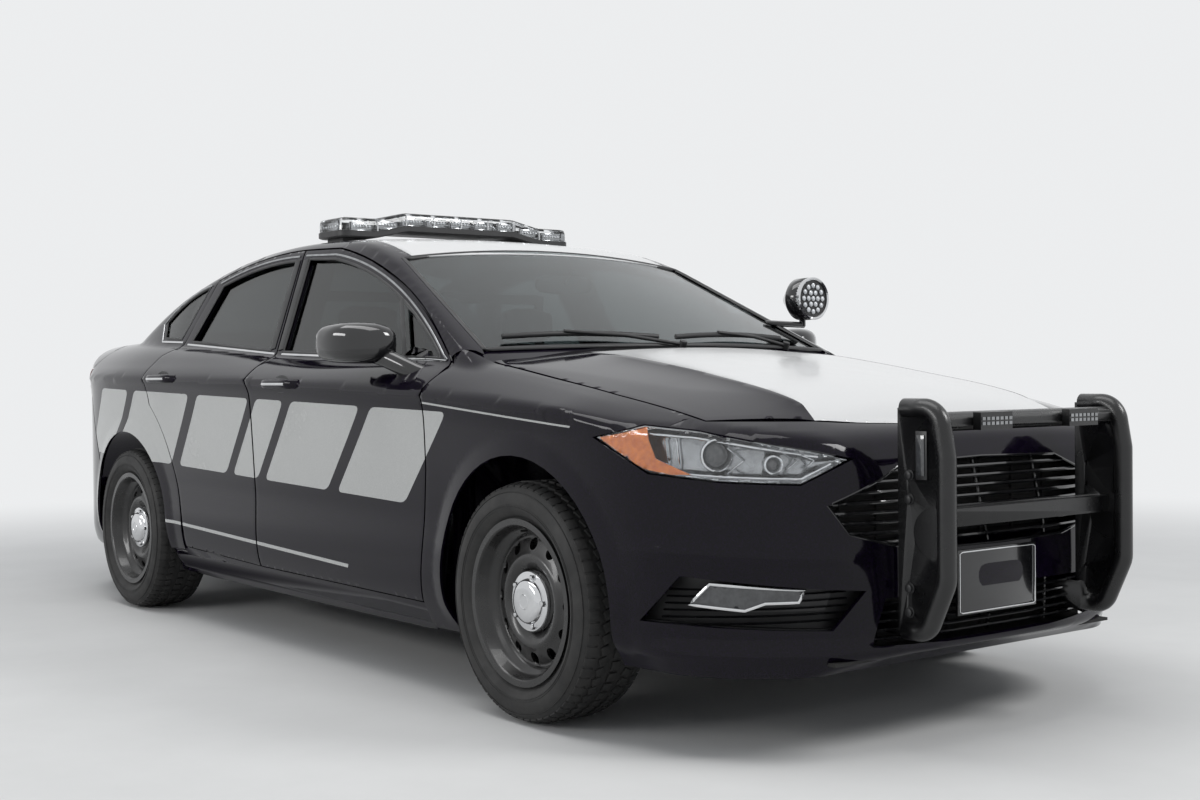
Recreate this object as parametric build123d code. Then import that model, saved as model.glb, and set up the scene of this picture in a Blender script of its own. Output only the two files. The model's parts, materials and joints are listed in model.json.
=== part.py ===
from build123d import *
import os
from math import cos, pi, radians, sin

os.makedirs("parts", exist_ok=True)

# Axes: X forward, Y to the driver's left, Z up from the ground, all in millimetres
WHEELBASE = 2850.0
FRONT_AXLE_X = 1438.0
REAR_AXLE_X = FRONT_AXLE_X - WHEELBASE
TRACK = 1600.0
NOSE_X = 2363.0
TAIL_X = -2508.0
SKIN = 26.0
GAP = 7.0
SEAT_GAP = 0.3

# Wheels: 235/50 tyres on 17 inch steel rims
TYRE_R = 333.0
TYRE_W = 235.0
BEAD_R = 216.0
RIM_LIP_R = 231.0
RIM_HOLES = 12
RIM_HOLE_R = 17.0
RIM_HOLE_RING_R = 158.0
DISC_R = 155.0
DISC_T = 26.0
ARCH_R = 398.0
ARCH_Z = 340.0
STEER_AXIS_Y = 706.0

# Side glass leans in from the belt by this much for each millimetre of height
BELT_Y = 795.0
BELT_Z = 1020.0
GLASS_LEAN = 0.405
PILLAR_T = 45.0
GLASS_T = 5.0
GLASS_IN = 14.0

# Windscreen: height and place of its foot and of its header, on the centre line and at the corner
SCREEN_FOOT = (1126.0, 1052.0)
SCREEN_HEAD = (358.0, 1408.0)
SCREEN_FOOT_CORNER = (1022.0, 731.0, 1030.0)
SCREEN_HEAD_CORNER = (332.0, 613.0, 1364.0)

# Doors: inner face of the panels and the floor between them
DOOR_INNER_Y = 803.0
DOOR_BELT_INNER_Y = 738.0
ROOF_INNER_Y = 595.0
POST_CLEARANCE = 13.0
FLOOR_Z = 225.0
FLOOR_T = 30.0
SILL_TOP_Z = 352.0
FIREWALL_X = 930.0
HOUSE_FRONT_X = 1105.0

# Body sections from nose to tail
# columns: x, sill z, sill y, low z, low y, mid z, mid y, line z, line y, edge z, edge y, crown z
BODY_SECTIONS = (
    (2440, 205, 700, 300, 830, 480, 860, 640, 860, 730, 640, 752),
    (2060, 200, 800, 300, 872, 500, 885, 780, 884, 832, 750, 900),
    (1720, 195, 830, 300, 885, 520, 902, 842, 908, 898, 780, 962),
    (1438, 190, 840, 300, 890, 540, 908, 872, 920, 940, 790, 1006),
    (1030, 185, 840, 300, 888, 560, 900, 900, 922, 992, 806, 1058),
    (0, 180, 830, 300, 886, 560, 898, 938, 924, 1030, 794, 1070),
    (-1030, 185, 830, 300, 886, 560, 902, 956, 926, 1088, 778, 1120),
    (-1560, 195, 830, 310, 890, 560, 912, 962, 920, 1112, 740, 1150),
    (-2080, 215, 790, 330, 860, 560, 880, 962, 868, 1108, 690, 1142),
    (-2580, 230, 690, 350, 780, 560, 800, 950, 790, 1098, 600, 1122),
)

# Roof sections
# columns: x, height at the rail, height at the centre
ROOF_RAIL_Y = 640.0
ROOF_SECTIONS = (
    (1300, 1300, 1326),
    (358, 1381, 1411),
    (90, 1430, 1457),
    (-250, 1450, 1478),
    (-600, 1444, 1472),
    (-950, 1402, 1430),
    (-1250, 1330, 1358),
    (-1700, 1166, 1194),
    (-2150, 1000, 1028),
)


def flat_face(items, place):
    """Closed face from corners; an item that holds two corners is an arc through the first."""
    edges = []
    start = items[0]
    here = start
    for item in list(items[1:]) + [start]:
        if isinstance(item[0], tuple):
            edges.append(ThreePointArc(place(here), place(item[0]), place(item[1])))
            here = item[1]
        elif item != here:
            edges.append(Line(place(here), place(item)))
            here = item
    return Face(Wire(edges))


def prism_y(items, y0, y1):
    return extrude(flat_face(items, lambda p: (p[0], y0, p[1])), y1 - y0, dir=(0, 1, 0))


def prism_x(items, x0, x1):
    return extrude(flat_face(items, lambda p: (x0, p[0], p[1])), x1 - x0, dir=(1, 0, 0))


def prism_z(items, z0, z1):
    return extrude(flat_face(items, lambda p: (p[0], p[1], z0)), z1 - z0, dir=(0, 0, 1))


def block(x0, x1, y0, y1, z0, z1):
    box = Box(x1 - x0, y1 - y0, z1 - z0)
    return box.moved(Location(((x0 + x1) / 2, (y0 + y1) / 2, (z0 + z1) / 2)))


def cyl_y(x, z, radius, y0, y1):
    return extrude(Plane((x, y0, z), x_dir=(1, 0, 0), z_dir=(0, 1, 0)) * Circle(radius), y1 - y0)


def cyl_x(y, z, radius, x0, x1):
    return extrude(Plane((x0, y, z), x_dir=(0, 1, 0), z_dir=(1, 0, 0)) * Circle(radius), x1 - x0)


def cyl_z(x, y, radius, z0, z1):
    return extrude(Plane((x, y, z0), z_dir=(0, 0, 1)) * Circle(radius), z1 - z0)


def rod(start, end, radius):
    way = Vector(*end) - Vector(*start)
    return extrude(Plane(start, z_dir=way) * Circle(radius), way.length)


def other_side(shape):
    return mirror(shape, Plane.XZ)


def both_sides(shape):
    return [shape, other_side(shape)]


def fuse(shapes):
    first = shapes[0]
    return first.fuse(*shapes[1:]) if len(shapes) > 1 else first


def solids_of(shape):
    found = []
    for one in shape if isinstance(shape, (list, tuple)) else [shape]:
        found.extend(one.solids())
    return found


def write(name, shape, least=1000.0):
    """One file for each named piece; crumbs left by a cut are dropped."""
    kept = [solid for solid in solids_of(shape) if solid.volume > least]
    export_step(Compound(children=kept) if len(kept) > 1 else kept[0], "parts/" + name + ".step")
    print(name, len(kept), round(sum(solid.volume for solid in kept) / 1e6, 2))


def body_section(row, inset):
    x, sill_z, sill_y, low_z, low_y, mid_z, mid_y, line_z, line_y, edge_z, edge_y, crown_z = row
    foot = sill_z if inset == 0 else sill_z - 60
    side = [
        (sill_y - inset, foot),
        (low_y - inset, low_z),
        (mid_y - inset, mid_z),
        (line_y - inset, line_z - 0.3 * inset),
        (edge_y - 0.7 * inset, edge_z - 0.9 * inset),
    ]
    left = [(-y, z) for y, z in side]
    items = list(side[:-1]) + [side[-1], ((0, crown_z - inset), left[-1])] + left[-2::-1]
    return flat_face(items, lambda p: (x, p[0], p[1])).outer_wire()


def plan_outline(inset):
    """The car seen from above: arcs round the nose and the tail, straight sides."""
    nose = NOSE_X - inset
    tail = TAIL_X + inset
    side = 935 - inset
    return [
        (tail + 68, -500 + 0.6 * inset),
        ((tail, 0), (tail + 68, 500 - 0.6 * inset)),
        ((tail + 178, 665 - 0.7 * inset), (tail + 348, 785 - 0.9 * inset)),
        ((tail + 600, 876 - inset), (tail + 940, side - 10)),
        (tail + 1300, side),
        (nose - 1200, side),
        (nose - 825, side - 6),
        ((nose - 470, 878 - inset), (nose - 309, 800 - 0.9 * inset)),
        ((nose - 178, 690 - 0.7 * inset), (nose - 71, 500 - 0.6 * inset)),
        ((nose, 0), (nose - 71, -500 + 0.6 * inset)),
        ((nose - 178, -690 + 0.7 * inset), (nose - 309, -800 + 0.9 * inset)),
        ((nose - 470, -878 + inset), (nose - 825, -side + 6)),
        (nose - 1200, -side),
        (tail + 1300, -side),
        (tail + 940, -side + 10),
        ((tail + 600, -876 + inset), (tail + 348, -785 + 0.9 * inset)),
        ((tail + 178, -665 + 0.7 * inset), (tail + 68, -500 + 0.6 * inset)),
    ]


def side_outline(inset):
    """The car seen from its side: bumper, grille slope and tail; the top is left open."""
    nose = NOSE_X - inset
    tail = TAIL_X + inset
    return [
        (nose - 240, 100),
        (nose - 130, 195),
        ((nose - 22, 262), (nose - 4, 380)),
        ((nose, 430), (nose - 12, 505)),
        (nose - 66, 731),
        ((nose - 96, 790), (nose - 160, 826)),
        (nose - 700, 1500),
        (tail + 700, 1500),
        (tail + 84, 1112),
        ((tail + 66, 1102), (tail + 62, 1085)),
        (tail + 40, 760),
        (tail + 8, 700),
        ((tail, 560), (tail + 16, 400)),
        ((tail + 40, 290), (tail + 170, 235)),
        (tail + 300, 100),
    ]


def lower_body(inset):
    shell = Solid.make_loft([body_section(row, inset) for row in BODY_SECTIONS])
    shell = shell & prism_z(plan_outline(inset), 60, 1300)
    return shell & prism_y(side_outline(inset), -1000, 1000)


def screen_x(z, foot, head):
    return foot[0] + (z - foot[1]) * (head[0] - foot[0]) / (head[1] - foot[1])


def glasshouse_outline(z, inset):
    """The glasshouse seen from above at one height."""
    side = BELT_Y - (z - BELT_Z) * GLASS_LEAN - 1.08 * inset
    foot, head = SCREEN_FOOT_CORNER, SCREEN_HEAD_CORNER
    rise = (z - foot[2]) / (head[2] - foot[2])
    corner_x = foot[0] + rise * (head[0] - foot[0]) - 2.37 * inset
    corner_y = foot[1] + rise * (head[1] - foot[1]) - 1.08 * inset
    front = screen_x(z, SCREEN_FOOT, SCREEN_HEAD) - 2.37 * inset
    rear = -2250 + 2.9 * inset
    return [
        (corner_x, -corner_y),
        ((front, 0), (corner_x, corner_y)),
        ((corner_x - 50, side - 12), (corner_x - 130, side)),
        (-1200, side),
        ((-1800, side - 55), (rear, side - 190)),
        (rear, -side + 190),
        ((-1800, -side + 55), (-1200, -side)),
        (corner_x - 130, -side),
        ((corner_x - 50, -side + 12), (corner_x, -corner_y)),
    ]


def roof_section(row, inset):
    x, rail_z, crown_z = row
    half = 900
    edge_z = crown_z - (crown_z - rail_z) * (half / ROOF_RAIL_Y) ** 2
    over = ((0, crown_z - inset), (-half, edge_z - inset))
    items = [(-half, 800), (half, 800), (half, edge_z - inset), over]
    return flat_face(items, lambda p: (x, p[0], p[1])).outer_wire()


def glasshouse(inset, foot_z=960.0):
    low = flat_face(glasshouse_outline(foot_z, inset), lambda p: (p[0], p[1], foot_z))
    high = flat_face(glasshouse_outline(1520, inset), lambda p: (p[0], p[1], 1520))
    tub = Solid.make_loft([low.outer_wire(), high.outer_wire()], ruled=True)
    roof = Solid.make_loft([roof_section(row, inset) for row in ROOF_SECTIONS])
    return tub & roof


def door_core(clearance):
    """All that lies inboard of the doors' inner faces."""
    low = DOOR_INNER_Y - clearance
    belt = DOOR_BELT_INNER_Y - clearance
    top = ROOF_INNER_Y - clearance
    right_side = [(low, 0), (low, 880), (belt, 985), (belt, 1046)]
    profile = right_side + [(-y, z) for y, z in reversed(right_side)]
    lower = prism_x(profile, -1700, 1300)
    upper = glasshouse(PILLAR_T + clearance, 1000)
    return lower.fuse(upper, block(-1700, 600, -top, top, 1100, 1500))


# Door outlines seen from the side, as x and z
FRONT_CUT_FOOT = (900.0, 276.0)
FRONT_CUT_MID = (962.0, 677.0)
FRONT_CUT_TOP = (972.0, 960.0)
SCREEN_POST_FOOT = (944.0, 1006.0)
SCREEN_POST_VIA = (480.0, 1262.0)
SCREEN_POST_HEAD = (-51.0, 1416.0)
MID_CUT_X = -215.0
MID_CUT_BELT_X = -262.0
MID_CUT_HEAD_X = -330.0
MID_CUT_HEAD_Z = 1428.0
DOOR_FOOT_Z = 282.0
REAR_CUT_FOOT = (-868.0, 300.0)
REAR_CUT_VIA = (-960.0, 640.0)
REAR_CUT_TOP = (-1150.0, 850.0)
REAR_CUT_BELT = (-1212.0, 1050.0)
REAR_CUT_SILL = (-1150.0, 1092.0)
REAR_CUT_HEAD = (-1034.0, 1352.0)


# How far each shut face slants, as X for each millimetre inboard, so that the door swings clear
FRONT_DOOR_SLANT = (0.12, 0.12, 0.18, 0.29)
REAR_DOOR_SLANT = (0.20, 0.15, 0.20, 0.26, 0.42)
REAR_DOOR_EASE = 3.0
DOOR_SKIN_Y = 905.0
PRISM_IN_Y = 560.0
PRISM_OUT_Y = 980.0


def front_door_outline(grow, y):
    foot, mid, belt, head = FRONT_DOOR_SLANT
    in_low = DOOR_SKIN_Y - y
    in_belt = BELT_Y - y
    in_head = ROOF_RAIL_Y - y
    rear = GAP / 2 - grow
    return [
        (FRONT_CUT_FOOT[0] + grow, FRONT_CUT_FOOT[1] - grow),
        (FRONT_CUT_MID[0] + grow, FRONT_CUT_MID[1]),
        (FRONT_CUT_TOP[0] + grow, FRONT_CUT_TOP[1]),
        (SCREEN_POST_FOOT[0] + grow, SCREEN_POST_FOOT[1] + 1.4 * grow),
        ((SCREEN_POST_VIA[0] + grow, SCREEN_POST_VIA[1] + 1.5 * grow),
         (SCREEN_POST_HEAD[0], SCREEN_POST_HEAD[1] + 1.5 * grow)),
        (MID_CUT_HEAD_X + rear + head * in_head, MID_CUT_HEAD_Z + 1.5 * grow),
        (MID_CUT_BELT_X + rear + belt * in_belt, 1045),
        (MID_CUT_X + rear + mid * in_low, 900),
        (MID_CUT_X + rear + foot * in_low, DOOR_FOOT_Z - grow),
    ]


def rear_door_outline(grow, y):
    foot, top, belt, sill, head = REAR_DOOR_SLANT
    f_foot, f_mid, f_belt, f_head = FRONT_DOOR_SLANT
    in_low = DOOR_SKIN_Y - y
    in_belt = BELT_Y - y
    in_head = ROOF_RAIL_Y - y
    front = grow - GAP / 2 - REAR_DOOR_EASE
    return [
        (MID_CUT_X + front + f_foot * in_low, DOOR_FOOT_Z - grow),
        (MID_CUT_X + front + f_mid * in_low, 900),
        (MID_CUT_BELT_X + front + f_belt * in_belt, 1045),
        (MID_CUT_HEAD_X + front + f_head * in_head, MID_CUT_HEAD_Z + 1.5 * grow),
        ((-800, 1398 + 1.5 * grow),
         (REAR_CUT_HEAD[0] - grow + head * in_head, REAR_CUT_HEAD[1] + grow)),
        (REAR_CUT_SILL[0] - grow + sill * in_belt, REAR_CUT_SILL[1]),
        (REAR_CUT_BELT[0] - grow + belt * in_belt, REAR_CUT_BELT[1]),
        (REAR_CUT_TOP[0] - grow + top * in_low, REAR_CUT_TOP[1]),
        ((REAR_CUT_VIA[0] - grow + foot * in_low, REAR_CUT_VIA[1]),
         (REAR_CUT_FOOT[0] - grow + foot * in_low, REAR_CUT_FOOT[1] - grow)),
    ]


def door_prism(outline, grow):
    """A door's outline swept across its thickness, with its slanted shut faces."""
    wires = [flat_face(outline(grow, y), lambda p: (p[0], y, p[1])).outer_wire()
             for y in (PRISM_IN_Y, PRISM_OUT_Y)]
    return Solid.make_loft(wires, ruled=True)


# Window openings seen from the side
FRONT_WINDOW = [(880, 1014), ((430, 1246), (-60, 1378)), (-262, 1390), (-208, 1052)]
REAR_WINDOW = [(-318, 1058), (-372, 1390), ((-700, 1374), (-965, 1326)), (-1072, 1108)]
QUARTER_WINDOW = [(-1196, 1120), (-1098, 1326), ((-1250, 1284), (-1420, 1192)), (-1380, 1130)]
SCREEN_OPENING = [
    (-722, 1036), ((0, 1050), (722, 1036)), (606, 1358), ((0, 1400), (-606, 1358)),
]
REAR_SCREEN_OPENING = [
    (-560, 1150), ((0, 1168), (560, 1150)), (500, 1388), ((0, 1424), (-500, 1388)),
]
ROOF_PANEL = [
    (300, -540), ((345, 0), (300, 540)), (-860, 512), ((-905, 0), (-860, -512)),
]


def pane(items, place_prism, inset, low, high):
    """A sheet of glass that fills an opening, set in from the outer surface."""
    region = place_prism(items, low, high)
    return (glasshouse(inset, 1000) & region) - glasshouse(inset + GLASS_T, 1000)


# Hood, trunk lid, lamps and openings, as outlines
HOOD_AXIS = (1050.0, 985.0)
TRUNK_AXIS = (-1950.0, 1144.0)


def hood_outline(grow):
    rear_side, side, lamp, nose = 1090 - grow, 738 + grow, 495 + grow, 2222 + grow
    return [
        (rear_side, -side),
        ((1205 - grow, 0), (rear_side, side)),
        (1700, side + 16),
        (2030 + grow, side - 2),
        (2170 + grow, lamp),
        ((nose, 0), (2170 + grow, -lamp)),
        (2030 + grow, -side + 2),
        (1700, -side - 16),
    ]


LAMP_ANGLE = radians(45)
# Headlamp and its pocket seen from the front corner: along the lamp, height
HEADLAMP = [(632, 796), (762, 824), (893, 811), (1197, 756), (1262, 740), (1147, 684), (950, 692), (774, 711)]
LAMP_POCKET = [
    (619, 796), (761, 830), (894, 817), (1198, 761), (1280, 742), (1149, 679), (949, 687), (770, 706),
]


def corner_plane():
    return Plane(
        origin=(0, 0, 0),
        x_dir=(sin(LAMP_ANGLE), cos(LAMP_ANGLE), 0),
        z_dir=(cos(LAMP_ANGLE), -sin(LAMP_ANGLE), 0),
    )


def corner_prism(items, depth_from, depth_to):
    """An outline seen from the right front corner, pushed along that view."""
    plane = corner_plane()
    face = flat_face(items, lambda p: plane.from_local_coords((p[0], p[1], depth_from)))
    way = plane.z_dir
    return extrude(face, depth_to - depth_from, dir=way)


GRILLE = [
    (-554, 629), (-381, 697), (-314, 724), (0, 731), (314, 724), (381, 697), (554, 629),
    (500, 554), (384, 524), (296, 509), (0, 505), (-296, 509), (-384, 524), (-500, 554),
]
LOWER_INTAKE = [(-440, 276), (-400, 391), ((0, 398), (400, 391)), (440, 276), ((0, 268), (-440, 276))]
GRILLE_BARS = 6
LOWER_BARS = 4
FOG_POCKET = [(745, 338), (850, 456), (1308, 414), (1225, 320)]
FOG_FLANGE = [(732, 328), (845, 466), (1316, 422), (1229, 311)]

print("base")
OUTER = lower_body(0)
INNER = lower_body(SKIN)
SKINS = OUTER - INNER
LAMP_DEPTH = 60.0
GRILLE_IN = 10.0
GRILLE_BACK = 44.0
NOSE_ZONE = block(1650, 2600, -1000, 1000, 50, 1300)
NOSE_LEVELS = {
    inset: (OUTER if inset == 0 else INNER if inset == SKIN else lower_body(inset)) & NOSE_ZONE
    for inset in (0, GRILLE_IN, SKIN, GRILLE_BACK, LAMP_DEPTH)
}
GLASSHOUSE = glasshouse(0)
HOUSE_WALL = GLASSHOUSE - glasshouse(PILLAR_T)
CORE = door_core(0)
CORE_CLEAR = door_core(POST_CLEARANCE)
BODY = OUTER.fuse(GLASSHOUSE)


def arch(x, radius, y0=640.0):
    return cyl_y(x, ARCH_Z, radius, y0, 1000)


def door_panel(outline, window):
    panel = (BODY & door_prism(outline, 0)) - CORE
    return panel - prism_y(window, 300, 1000)


FRONT_OPENING = door_prism(front_door_outline, GAP) - CORE_CLEAR
REAR_OPENING = door_prism(rear_door_outline, GAP) - CORE_CLEAR

print("doors")
DOORS = (
    ("front_door", front_door_outline, FRONT_WINDOW),
    ("rear_door", rear_door_outline, REAR_WINDOW),
)
MIRROR = [(746, 1062), (680, 1120), ((600, 1128), (532, 1096)), (520, 1052), ((580, 1018), (690, 1026))]
for name, outline, window in DOORS:
    panel = door_panel(outline, window)
    if name == "front_door":
        head = prism_y(MIRROR, 862, 1048)
        mirror_plan = [(770, 850), (742, 900), ((690, 1040), (560, 1052)), (500, 1030), (600, 850)]
        head = head & prism_z(mirror_plan, 1000, 1140)
        arm = prism_y([(800, 1016), (780, 1042), (690, 1052), (640, 1020)], 784, 880)
        panel = panel.fuse(head, arm)
    glass = pane(window, prism_y, GLASS_IN, 300, 1000)
    write(name + "_left", panel)
    write(name + "_right", other_side(panel))
    write(name + "_glass_left", glass)
    write(name + "_glass_right", other_side(glass))

print("hood and lid")


def nose_edge(drop):
    """Everything below the hood's front edge, seen from the front."""
    side = [(800, 700 - drop), (500, 744 - drop), (330, 802 - drop)]
    left = [(-y, z) for y, z in reversed(side)]
    return prism_x([(-900, 0), (900, 0), (900, 700 - drop)] + side[1:] + [(0, 808 - drop)] + left[:-1]
                   + [(-900, 700 - drop)], 2000, 2500)


hood = SKINS & prism_z(hood_outline(0), 640, 1300)
hood = hood - nose_edge(0)
write("hood", hood)

LID_HALF = 590.0
LID_REAR_HALF = 500.0
LID_FOOT_Z = 720.0


def lid_region(grow):
    deck = block(-2600, TRUNK_AXIS[0] + grow, -LID_HALF - grow, LID_HALF + grow, 1035 - grow, 1300)
    tail = block(-2600, -2200, -LID_REAR_HALF - grow, LID_REAR_HALF + grow, LID_FOOT_Z - grow, 1200)
    return deck.fuse(tail)


TAIL_LAMP_FRONT = -1853.0


def tail_lamp_region(grow):
    side = prism_y(
        [(TAIL_LAMP_FRONT + grow, 972), (-2010, 1016 + grow), (-2600, 1016 + grow), (-2600, 890 - grow),
         (-2080, 890 - grow)], 0, 1000)
    return side & block(-2600, -1800, 509 - grow, 1000, 800, 1100)


lid = SKINS & lid_region(0)
write("trunk_lid", lid)

print("front end")
TOWER_Z = 762.0
lamp_prism = corner_prism(HEADLAMP, 1000, 3000)
lamp_prism_wide = corner_prism(LAMP_POCKET, 1000, 3000)
lamps_wide = [lamp_prism_wide, other_side(lamp_prism_wide)]
lamp_body = (NOSE_LEVELS[0] & lamp_prism) - NOSE_LEVELS[LAMP_DEPTH]
lamp_body = lamp_body - prism_z(hood_outline(GAP), 600, 1300)
lamp_lug = block(1960, 1995, -800, -690, 735, TOWER_Z - SEAT_GAP)
write("headlamps", both_sides(lamp_body.fuse(lamp_lug)))

fog_prism = corner_prism(FOG_POCKET, 1000, 3000)
fog_cut = [fog_prism, other_side(fog_prism)]
fog_back = corner_prism(FOG_FLANGE, 1000, 3000)
fog_liner = (NOSE_LEVELS[GRILLE_BACK] & fog_back) - NOSE_LEVELS[LAMP_DEPTH]
behind_skin = NOSE_LEVELS[SKIN].moved(Location((-SEAT_GAP, SEAT_GAP, 0)))
fog_flange = behind_skin & fog_back & block(1700, 2600, -1000, 1000, 100, 600)
fog_flange = fog_flange - NOSE_LEVELS[GRILLE_BACK] - fog_prism
fog_lens = corner_prism([(1000, 366), (980, 436), (1225, 420), (1205, 368)], 1000, 3000)
fog_lens = (NOSE_LEVELS[SKIN] & fog_lens) - NOSE_LEVELS[LAMP_DEPTH]
write("fog_lamps", both_sides(fuse([fog_liner, fog_flange, fog_lens])))

SEAM_FOOT = (1716.0, 629.0)
SEAM_HEAD = (1906.0, 722.0)
hood_cut = prism_z(hood_outline(GAP), 640, 1300)
front_arch = arch(FRONT_AXLE_X, ARCH_R, 300)
arch_cuts = [front_arch, other_side(front_arch)]
fender_side = [
    (FRONT_CUT_FOOT[0] + GAP, 170),
    (FRONT_CUT_FOOT[0] + GAP, FRONT_CUT_FOOT[1]),
    (FRONT_CUT_MID[0] + GAP, FRONT_CUT_MID[1]),
    (FRONT_CUT_TOP[0] + GAP, FRONT_CUT_TOP[1]),
    (FRONT_CUT_TOP[0] + GAP, 1200),
    (2100, 1200),
    (SEAM_HEAD[0], SEAM_HEAD[1]),
    (SEAM_FOOT[0], SEAM_FOOT[1]),
    (SEAM_FOOT[0], 450),
    (1400, 170),
]
fender = SKINS & prism_y(fender_side, 640, 1000)
fender = fender - front_arch - hood_cut - lamp_prism_wide.mirror(Plane.XZ) - glasshouse(-3, 900)
write("front_fenders", both_sides(fender))

bumper_rear_x = SEAM_FOOT[0] + SEAT_GAP
bumper_side = [
    (1700, 100), (bumper_rear_x, 450), (bumper_rear_x, SEAM_FOOT[1]),
    (SEAM_HEAD[0] + SEAT_GAP, SEAM_HEAD[1]), (2103, 1000), (2600, 1000), (2600, 100),
]
bumper = SKINS & prism_y(bumper_side, -1000, 1000)
bumper = bumper - (hood_cut - nose_edge(GAP))
for cut in arch_cuts + lamps_wide + fog_cut:
    bumper = bumper - cut
bumper = bumper - prism_x(GRILLE, 2000, 2600) - prism_x(LOWER_INTAKE, 2000, 2600)
write("front_bumper", bumper)


def grille_bars(outline, low, high, count, thick):
    """Bars that follow the nose, clipped to the opening and joined by uprights behind them."""
    opening = prism_x(outline, 2000, 2600)
    pitch = (high - low) / (count + 1)
    levels = [low + pitch * (n + 1) for n in range(count)]
    bars = [block(2000, 2600, -700, 700, z - thick / 2, z + thick / 2) for z in levels]
    uprights = [block(2000, 2600, y - 6, y + 6, 200, 900) for y in (-386, -250, 0, 250, 386)]
    core = opening & NOSE_LEVELS[GRILLE_IN]
    front = (core & fuse(bars)) - NOSE_LEVELS[GRILLE_BACK]
    back = (core & fuse(uprights) & NOSE_LEVELS[SKIN]) - NOSE_LEVELS[GRILLE_BACK]
    return front.fuse(back)


BRACKET_Y = (339.0, 351.0)
BRACKET_Z = (296.0, 372.0)
lower_bars = grille_bars(LOWER_INTAKE, 268, 398, LOWER_BARS, 12)
BRACKET_EASE = 3.0
slot_y = (BRACKET_Y[0] - BRACKET_EASE, BRACKET_Y[1] + BRACKET_EASE)
slot_z = (BRACKET_Z[0] - BRACKET_EASE, BRACKET_Z[1] + BRACKET_EASE)
for slot in both_sides(block(2100, 2500, *slot_y, *slot_z)):
    lower_bars = lower_bars - slot
write("grille", [grille_bars(GRILLE, 505, 731, GRILLE_BARS, 16), lower_bars])

print("rear end")
rear_arch = arch(REAR_AXLE_X, ARCH_R, 300)
rear_bumper_side = [(-1640, 100), (-1790, 340), (-1772, 600), (-1960, 886), (-2700, 886), (-2700, 100)]
rear_bumper = SKINS & prism_y(rear_bumper_side, -1000, 1000)
rear_bumper = rear_bumper - rear_arch - other_side(rear_arch) - lid_region(GAP)
write("rear_bumper", rear_bumper)
tail_lamp = (OUTER & tail_lamp_region(0)) - lower_body(LAMP_DEPTH)
write("tail_lamps", both_sides(tail_lamp))

print("glass")
screen = pane(SCREEN_OPENING, prism_x, 5, 0, 1300)
write("windscreen", screen)
quarter = pane(QUARTER_WINDOW, prism_y, 5, 300, 1000)
rear_screen = pane(REAR_SCREEN_OPENING, prism_x, 5, -2200, -700)
write("rear_windows", [rear_screen] + both_sides(quarter))

print("roof")
roof_region = prism_z(ROOF_PANEL, 1200, 1500)
ROOF_T = 20.0
roof_panel = (GLASSHOUSE - glasshouse(ROOF_T)) & roof_region
write("roof_panel", roof_panel)

print("shell")
post_side = [
    (-300, 215), (-135, 215), (-135, 900), (-185, 1045),
    (-255, 1445), (-415, 1445), (-345, 1045), (-300, 900),
]
post = (CORE_CLEAR - door_core(POST_CLEARANCE + 40)) & prism_y(post_side, 300, 1000) & BODY
house = HOUSE_WALL & block(-1930, HOUSE_FRONT_X, -1000, 1000, 965, 1500)
house = house - hood_cut
house = house - prism_x(SCREEN_OPENING, 0, 1300) - prism_x(REAR_SCREEN_OPENING, -2200, -700)
house = house - block(-2000, -1350, -700, 700, 900, 1122)
house = house - (roof_region & (glasshouse(-5) - glasshouse(ROOF_T + SEAT_GAP)))
skins = SKINS & block(-2600, 2200, -1000, 1000, 100, 1300)
front_zone = [(FRONT_CUT_FOOT[0] + GAP, 0)] + fender_side[1:4] + [(960, 1300), (2600, 1300), (2600, 0)]
skins = skins - prism_y(front_zone, -1000, 1000)
skins = skins - block(-1290, 1040, -738, 738, 900, 1300)
skins = skins - prism_y([(x + (SEAT_GAP if x > -2600 else 0), z) for x, z in rear_bumper_side], -1000, 1000)
skins = skins - lid_region(GAP)
for region in both_sides(tail_lamp_region(2)):
    skins = skins - region

COWL_TOP_Z = 975.0
RAIL_Z = 420.0
STRUT_IN = 152.0
plates = [
    block(-1300, FIREWALL_X, -789, 789, FLOOR_Z - FLOOR_T, FLOOR_Z),
    block(FIREWALL_X, FIREWALL_X + 30, -735, 735, FLOOR_Z - FLOOR_T, COWL_TOP_Z),
    block(FIREWALL_X, 1080, -720, 720, COWL_TOP_Z - 25, COWL_TOP_Z),
    block(FIREWALL_X, 1190, -440, 440, COWL_TOP_Z - 25, COWL_TOP_Z),
    block(-1330, -1300, -735, 735, FLOOR_Z - FLOOR_T, 1112),
    block(-2300, -1300, -660, 660, 330, 355) & INNER,
    block(-2440, -2300, -370, 370, 330, 355),
    block(-2440, -2415, -370, 370, 330, 700),
    block(2050, 2075, -480, 480, 300, 800),
    block(-2480, -2415, -40, 40, 690, 760) & INNER.moved(Location((SEAT_GAP, 0, 0))),
    block(2170, 2225, -440, 440, RAIL_Z, RAIL_Z + 100),
]
left = [
    block(-868, 960, 690, 789, FLOOR_Z - FLOOR_T, SILL_TOP_Z),
    block(-1010, 900, 760, 868, 200, 262),
    block(FIREWALL_X, 972, 735, 789, FLOOR_Z - FLOOR_T, COWL_TOP_Z - 15),
    block(960, 2070, 478, 498, RAIL_Z, 780),
    block(960, 2200, 400, 498, RAIL_Z, RAIL_Z + 100),
    block(960, 2000, 478, 720, TOWER_Z, 780),
    cyl_z(FRONT_AXLE_X, TRACK / 2 - STRUT_IN, 70, 770, 870),
    cyl_z(2062, 420, 12, 795, 950) & INNER.moved(Location((0, 0, -SEAT_GAP))),
    post,
]
house_box = arch(REAR_AXLE_X, ARCH_R + 22, 640) & block(-2000, -900, 600, 896, 260, 900)
house_box = house_box - block(-1900, -1765, 826, 1000, 100, 625)
house_box = house_box - block(REAR_AXLE_X - 62, REAR_AXLE_X + 62, 600, 664, 200, 334)
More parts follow.
